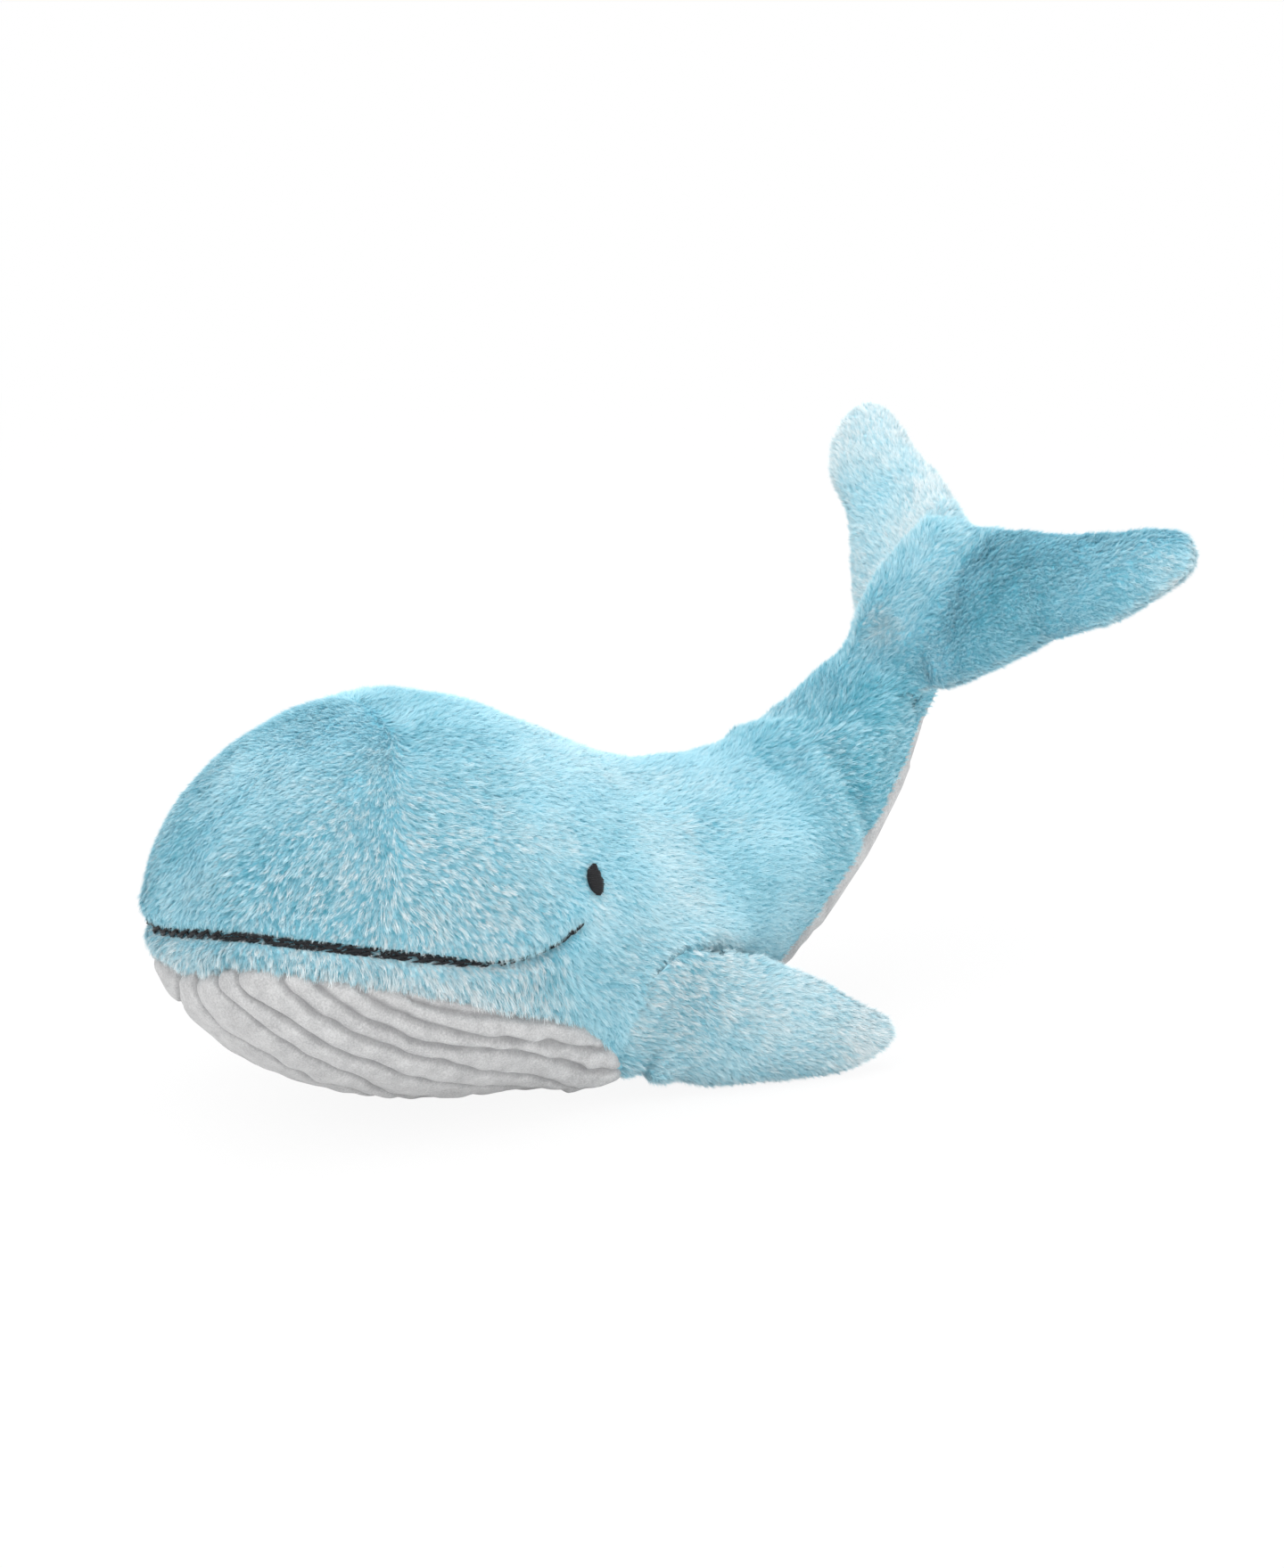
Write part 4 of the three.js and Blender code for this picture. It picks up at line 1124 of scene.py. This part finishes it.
# embroidery: the mouth and the eyes are rows of satin stitch
mouthSet = {
    "centre": -60 * mm, "farTurn": 131.5, "pitch": 0.30 * mm, "width": 1.9 * mm, "thread": 0.34 * mm,
    "bulge": 0.6 * mm, "lift": 1.6 * mm, "slant": 3.0, "seed": 5,
    "thinFrom": -60 * mm, "thinTo": -35 * mm, "thin": 0.45, "sunk": 1.0 * mm,
    "cores": (-0.45 * mm, 0, 0.45 * mm),
}
eyeSet = {
    "place": (5.0, -65.3, 93.4), "height": 11.2 * mm, "width": 6.6 * mm, "rows": 20,
    "thread": 0.34 * mm, "bulge": 1.2 * mm, "lift": 1.9 * mm, "leanAhead": -0.8 * mm,
    "slant": 0.32, "seed": 8, "ragged": 0.09,
}


def threadAlong(bm, path, radius, across, sides=5):
    # one thread, round and closed at its ends, on a row of points
    steps = len(path) - 1
    made = bmesh.ops.create_grid(bm, x_segments=steps, y_segments=sides, size=0.5)["verts"]
    ways = unit(np.gradient(path, axis=0))
    lifts = unit(np.cross(ways, np.repeat(across[None], len(path), 0)))
    sideways = np.cross(lifts, ways)
    for vert in made:
        i = round((vert.co.x + 0.5) * steps)
        turn = (vert.co.y + 0.5) * 2 * math.pi
        full = radius * (0.35 if i in (0, steps) else 1)
        vert.co = Vector(path[i] + full * (math.cos(turn) * lifts[i] + math.sin(turn) * sideways[i]))
    for vert in made:
        for face in vert.link_faces:
            face.smooth = True
    bmesh.ops.remove_doubles(bm, verts=made, dist=1e-7)


def stitched(name, bm):
    bmesh.ops.recalc_face_normals(bm, faces=bm.faces)
    return linked(name, meshFrom(name, bm))


def onSkin(x, y, z):
    spot, normal, _, _ = whaleTree.find_nearest(Vector((x, y, z)))
    return np.array(spot), np.array(normal)


def mouthPath(s, count):
    rows = []
    for turn in np.radians(np.linspace(s["farTurn"], -s["farTurn"], count)):
        way = Vector((-math.cos(turn), -math.sin(turn), 0))
        x, y = -0.12, 0.0
        for _ in range(8):
            z = float(lineHeight(mouthLine, np.array([[x, y, 0.0]]))[0])
            hit = whaleTree.ray_cast(Vector((s["centre"], 0, z)), way)[0]
            x, y = hit.x, hit.y
        rows.append((x, y, z))
    return np.array(rows)


def embroideredMouth(s):
    path = mouthPath(s, 260)
    lengths = np.concatenate([[0], np.cumsum(np.linalg.norm(np.diff(path, axis=0), axis=1))])
    rng = np.random.default_rng(s["seed"])
    bm = bmesh.new()
    for run in np.arange(0.5 * mm, lengths[-1] - 0.5 * mm, s["pitch"]):
        place = np.array([np.interp(run, lengths, path[:, k]) for k in range(3)])
        ahead = np.array([np.interp(run + 1 * mm, lengths, path[:, k]) for k in range(3)])
        spot, normal = onSkin(*place)
        along = ahead - place
        along -= normal * (along @ normal)
        along /= np.linalg.norm(along)
        across = np.cross(normal, along)
        toEnd = min(run, lengths[-1] - run)
        # towards its corners the line is thin and half hidden in the fur
        thin = float(ramp(spot[0], s["thinFrom"], s["thinTo"])) * min(1, toEnd / (2 * mm))
        half = s["width"] / 2 * (1 - (1 - s["thin"]) * thin)
        half = half * min(1, 0.5 + toEnd / (3 * mm)) * rng.uniform(0.9, 1.1)
        slant = across + along * s["slant"]
        t = np.linspace(-1, 1, 5)[:, None]
        lift = s["lift"] - s["sunk"] * thin + s["bulge"] * (1 - t ** 2) + rng.uniform(-0.08, 0.08) * mm
        points = spot + slant * half * t + normal * lift
        threadAlong(bm, points, s["thread"] * rng.uniform(0.85, 1.1), along)
    for offset in s["cores"]:
        rows = []
        for run in np.arange(1.5 * mm, lengths[-1] - 1.5 * mm, 1.2 * mm):
            spot, normal = onSkin(*(np.interp(run, lengths, path[:, k]) for k in range(3)))
            thin = float(ramp(spot[0], s["thinFrom"], s["thinTo"]))
            rows.append(spot + normal * (s["lift"] + 0.25 * mm - 1.2 * s["sunk"] * thin)
                        + np.array([0, 0, offset * (1 - 0.5 * thin)]))
        threadAlong(bm, np.array(rows), 1.2 * s["thread"], np.array([0.1, 0.2, 1.0]))
    return stitched("mouthStitches", bm)


def embroideredEye(name, side, s):
    rng = np.random.default_rng(s["seed"])
    x, y, z = np.array(s["place"]) * mm
    spot, normal = onSkin(x, -side * y, z)
    up = np.array([0, 0, 1.0]) - normal * normal[2]
    up /= np.linalg.norm(up)
    ahead = np.array([-1.0, 0, 0]) + normal * normal[0]
    ahead -= up * (ahead @ up)
    ahead /= np.linalg.norm(ahead)
    bm = bmesh.new()
    for row in range(s["rows"]):
        t = -1 + 2 * (row + 0.5) / s["rows"]
        half = s["width"] / 2 * math.sqrt(1 - abs(t) ** 2.3) * (1 - 0.28 * max(0, t))
        half *= 1 + rng.uniform(-1, 1) * s["ragged"] * (1 + max(0, 2 * t))
        middle = spot + up * t * s["height"] / 2 + ahead * s["leanAhead"] * (t * abs(t))
        k = np.linspace(-1, 1, 7)[:, None]
        lift = s["lift"] + s["bulge"] * (1 - k ** 2) * (1 - 0.5 * t * t)
        path = middle + ahead * half * k + up * half * k * s["slant"] + normal * lift
        threadAlong(bm, path, s["thread"] * rng.uniform(0.9, 1.1), up)
    pad = bmesh.ops.create_uvsphere(bm, u_segments=16, v_segments=8, radius=0.5)["verts"]
    for vert in pad:
        a, b, c = vert.co
        vert.co = Vector(spot + ahead * a * s["width"] * 0.9 + up * b * s["height"] * 0.92
                         + normal * (c * 2.6 * mm + s["lift"] * 0.5))
    return stitched(name, bm)


threads = {"mouthStitches": embroideredMouth(mouthSet)}
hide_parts("mouth_line")
for side, name, node in ((-1, "eyeStitchesLeft", "left_eye"), (1, "eyeStitchesRight", "right_eye")):
    threads[name] = embroideredEye(name, side, eyeSet)
    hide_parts(node)
print("mouth and eyes stitched")


# materials: the shader's values, colours as 0 to 255 on screen, and scale and detail of the grain
shaderKeys = ("Roughness", "Sheen Weight", "Sheen Roughness", "Specular IOR Level")
furSet = {
    "shader": (0.62, 0.4, 0.4, 0.25),
    "deep": (112, 208, 226), "middle": (194, 244, 255), "pale": (250, 255, 255),
    # root: painted shade, the strands darkened towards their roots where the pile shades itself
    "root": (54, 130, 150), "rootShare": 0.50, "rootPower": 1.3,
    # tip: painted highlight, the strands whitened towards their tips where they catch the light
    "tip": (255, 255, 255), "tipShare": 0.95, "tipPower": 3.8, "through": 0.22,
}
groundSet = {
    "shader": (0.9, 0.1, 0.5, 0.3),
    "deep": (84, 152, 170), "middle": (118, 184, 202), "pale": (178, 216, 226),
    "grain": (900.0, 3.0), "grainShare": 0.5, "bump": 0.6, "bumpDepth": 0.6 * mm,
}
velourSet = {
    "shader": (0.8, 0.35, 0.35, 0.2),
    "stops": [(0.42, (166, 166, 167)), (0.78, (202, 202, 202))],
    # channel: painted shade, darker where the cloth dips into its sewn channels
    "channel": (132, 132, 134), "channelShare": 0.5, "nap": (1500.0, 4.0), "napShare": 0.7,
    "crushed": (160.0, 3.0), "crushedShare": 0.5, "bump": 0.7, "bumpDepth": 0.6 * mm,
}
threadSet = {
    "shader": (0.55, 0.1, 0.4, 0.35),
    "stops": [(0.3, (7, 8, 11)), (0.75, (24, 25, 30))],
    "grain": (2200.0, 2.0), "bump": 0.5, "bumpDepth": 0.2 * mm,
}


def linear(*colour):
    return (*(c / 255 / 12.92 if c <= 10 else ((c / 255 + 0.055) / 1.055) ** 2.4 for c in colour), 1)


def blendOf(tree, factor, first, second):
    inputs = {"Factor": factor, "A": first, "B": second}
    return out(wired(tree, "ShaderNodeMix", inputs, data_type="RGBA"), "Result")


def rampedColour(tree, value, colours):
    node = wired(tree, "ShaderNodeValToRGB", {0: value})
    stops = node.color_ramp.elements
    for stop, (position, colour) in zip(stops, (colours[0], colours[-1])):
        stop.position, stop.color = position, linear(*colour)
    for position, colour in colours[1:-1]:
        stops.new(position).color = linear(*colour)
    return out(node, "Color")


def shadesOf(tree, value, s):
    return rampedColour(tree, value, [(0.0, s["deep"]), (0.5, s["middle"]), (1.0, s["pale"])])


def groupTree(name, inputs, output, kind):
    tree = bpy.data.node_groups.new(name, "ShaderNodeTree")
    for key, value in inputs.items():
        socket = tree.interface.new_socket(key, in_out="INPUT", socket_type="NodeSocketFloat")
        socket.default_value = value
    tree.interface.new_socket(output, in_out="OUTPUT", socket_type=kind)
    return tree, tree.nodes.new("NodeGroupInput"), tree.nodes.new("NodeGroupOutput")


def furColourGroup(s):
    tree, start, end = groupTree("furColour", {"Shade": 0.5, "Along": 0.5}, "Colour", "NodeSocketColor")
    shade, along = out(start, "Shade"), out(start, "Along")
    # painted shade towards the roots
    rootShade = mathOf(tree, "POWER", mathOf(tree, "SUBTRACT", 1.0, along), s["rootPower"])
    rootShade = mathOf(tree, "MULTIPLY", rootShade, s["rootShare"])
    # painted highlight towards the tips
    tipHighlight = mathOf(tree, "MULTIPLY", mathOf(tree, "POWER", along, s["tipPower"]), s["tipShare"])
    rootShaded = blendOf(tree, rootShade, shadesOf(tree, shade, s), linear(*s["root"]))
    tree.links.new(blendOf(tree, tipHighlight, rootShaded, linear(*s["tip"])), end.inputs[0])
    return tree


def clothGrainGroup():
    inputs = {"Scale": 1000.0, "Detail": 2.0}
    tree, start, end = groupTree("clothGrain", inputs, "Grain", "NodeSocketFloat")
    noise = wired(tree, "ShaderNodeTexNoise", {
        "Vector": out(wired(tree, "ShaderNodeTexCoord"), "Object"), "Scale": out(start, "Scale"),
        "Detail": out(start, "Detail")})
    tree.links.new(out(noise), end.inputs[0])
    return tree


clothGrain = clothGrainGroup()


def grainOf(tree, values):
    scale, detail = values
    return out(wired(tree, "ShaderNodeGroup", {"Scale": scale, "Detail": detail}, node_tree=clothGrain))


def newMaterial(name, s):
    material = bpy.data.materials.new(name)
    material.use_nodes = True
    tree = material.node_tree
    tree.nodes.clear()
    cloth = wired(tree, "ShaderNodeBsdfPrincipled", dict(zip(shaderKeys, s["shader"])))
    end = wired(tree, "ShaderNodeOutputMaterial", {"Surface": out(cloth)})
    return material, tree, cloth, end


def finishCloth(tree, cloth, colour, height, s):
    tree.links.new(colour, cloth.inputs["Base Color"])
    bump = wired(tree, "ShaderNodeBump", {
        "Height": height, "Strength": s["bump"], "Distance": s["bumpDepth"]})
    tree.links.new(out(bump), cloth.inputs["Normal"])


def furMaterial(s):
    material, tree, cloth, end = newMaterial("plushFur", s)
    place = wired(tree, "ShaderNodeUVMap", uv_map="OFBake")
    split = wired(tree, "ShaderNodeSeparateXYZ", {0: out(place)})
    colour = out(wired(tree, "ShaderNodeGroup", {"Shade": out(split, "X"), "Along": out(split, "Y")},
                       node_tree=furColourGroup(s)))
    tree.links.new(colour, cloth.inputs["Base Color"])
    # light shines through the fine pile
    through = wired(tree, "ShaderNodeBsdfTranslucent", {"Color": colour})
    both = wired(tree, "ShaderNodeMixShader", {0: s["through"], 1: out(cloth), 2: out(through)})
    tree.links.new(out(both), end.inputs["Surface"])
    return material


def groundMaterial(s):
    material, tree, cloth, _ = newMaterial("plushGround", s)
    tone = out(wired(tree, "ShaderNodeAttribute", attribute_name="tone"), "Fac")
    grain = grainOf(tree, s["grain"])
    uneven = mathOf(tree, "MULTIPLY_ADD", grain, s["grainShare"], -s["grainShare"] / 2)
    varied = mathOf(tree, "ADD", tone, uneven, clamped=True)
    finishCloth(tree, cloth, shadesOf(tree, varied, s), grain, s)
    return material


def velourMaterial(s):
    material, tree, cloth, _ = newMaterial("whiteVelour", s)
    nap = mathOf(tree, "MULTIPLY", grainOf(tree, s["nap"]), s["napShare"])
    crushed = mathOf(tree, "MULTIPLY", grainOf(tree, s["crushed"]), s["crushedShare"])
    mixed = mathOf(tree, "ADD", nap, crushed)
    # the channels are darkened with painted shade
    channel = out(wired(tree, "ShaderNodeAttribute", attribute_name="channel"), "Fac")
    channelShade = mathOf(tree, "MULTIPLY", channel, s["channelShare"])
    shaded = blendOf(tree, channelShade, rampedColour(tree, mixed, s["stops"]), linear(*s["channel"]))
    finishCloth(tree, cloth, shaded, mixed, s)
    return material


def threadMaterial(s):
    material, tree, cloth, _ = newMaterial("blackThread", s)
    twist = grainOf(tree, s["grain"])
    finishCloth(tree, cloth, rampedColour(tree, twist, s["stops"]), twist, s)
    return material


fur, ground = furMaterial(furSet), groundMaterial(groundSet)
velour, thread = velourMaterial(velourSet), threadMaterial(threadSet)
wearers = [(piece, fur) for piece in furs.values()]
wearers += [(piece, thread) for piece in threads.values()]
wearers += [(piece, velour if name in whites else ground) for name, piece in panels.items()]
for piece, material in wearers:
    piece.data.materials.clear()
    piece.data.materials.append(material)
print("materials ready")


# which body each piece goes with
bendSet = {
    "tail": {"ahead": 26 * mm, "behind": 26 * mm},
    "fluke": {"from": 17 * mm, "to": 44 * mm, "along": 20 * mm},
    "fin": {"from": (30, -62, 30), "to": (52, -66, 30)},
}


def follow(piece, kind, side="Left"):
    if kind == "trunk":
        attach(piece, "trunk")
    elif kind == "tail":
        s = bendSet["tail"]
        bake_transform(piece, "trunk", "tail", start=tuple(hinge - tailward * s["ahead"]),
                 end=tuple(hinge + tailward * s["behind"]))
    elif kind == "fluke":
        s = bendSet["fluke"]
        sign = -1 if side == "Left" else 1
        spot = flukeRoot + flukeAlong * s["along"]
        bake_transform(piece, "tail", "fluke_" + side.lower(),
                 start=tuple(spot + np.array([0, sign * s["from"], 0])),
                 end=tuple(spot + np.array([0, sign * s["to"], 0])))
    else:
        s = bendSet["fin"]
        mirror = np.array([1, 1 if side == "Left" else -1, 1]) * mm
        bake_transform(piece, "trunk", "fin_" + side.lower(), start=tuple(np.array(s["from"]) * mirror),
                 end=tuple(np.array(s["to"]) * mirror))


def kindOf(name):
    kinds = {"fluke": "fluke", "fin": "fin", "lip": "trunk"}
    return next((kind for start, kind in kinds.items() if name.startswith(start)), "tail")


for name, piece in {**panels, **furs}.items():
    follow(piece, kindOf(name), "Right" if "Right" in name else "Left")
for name, piece in threads.items():
    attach(piece, "trunk")
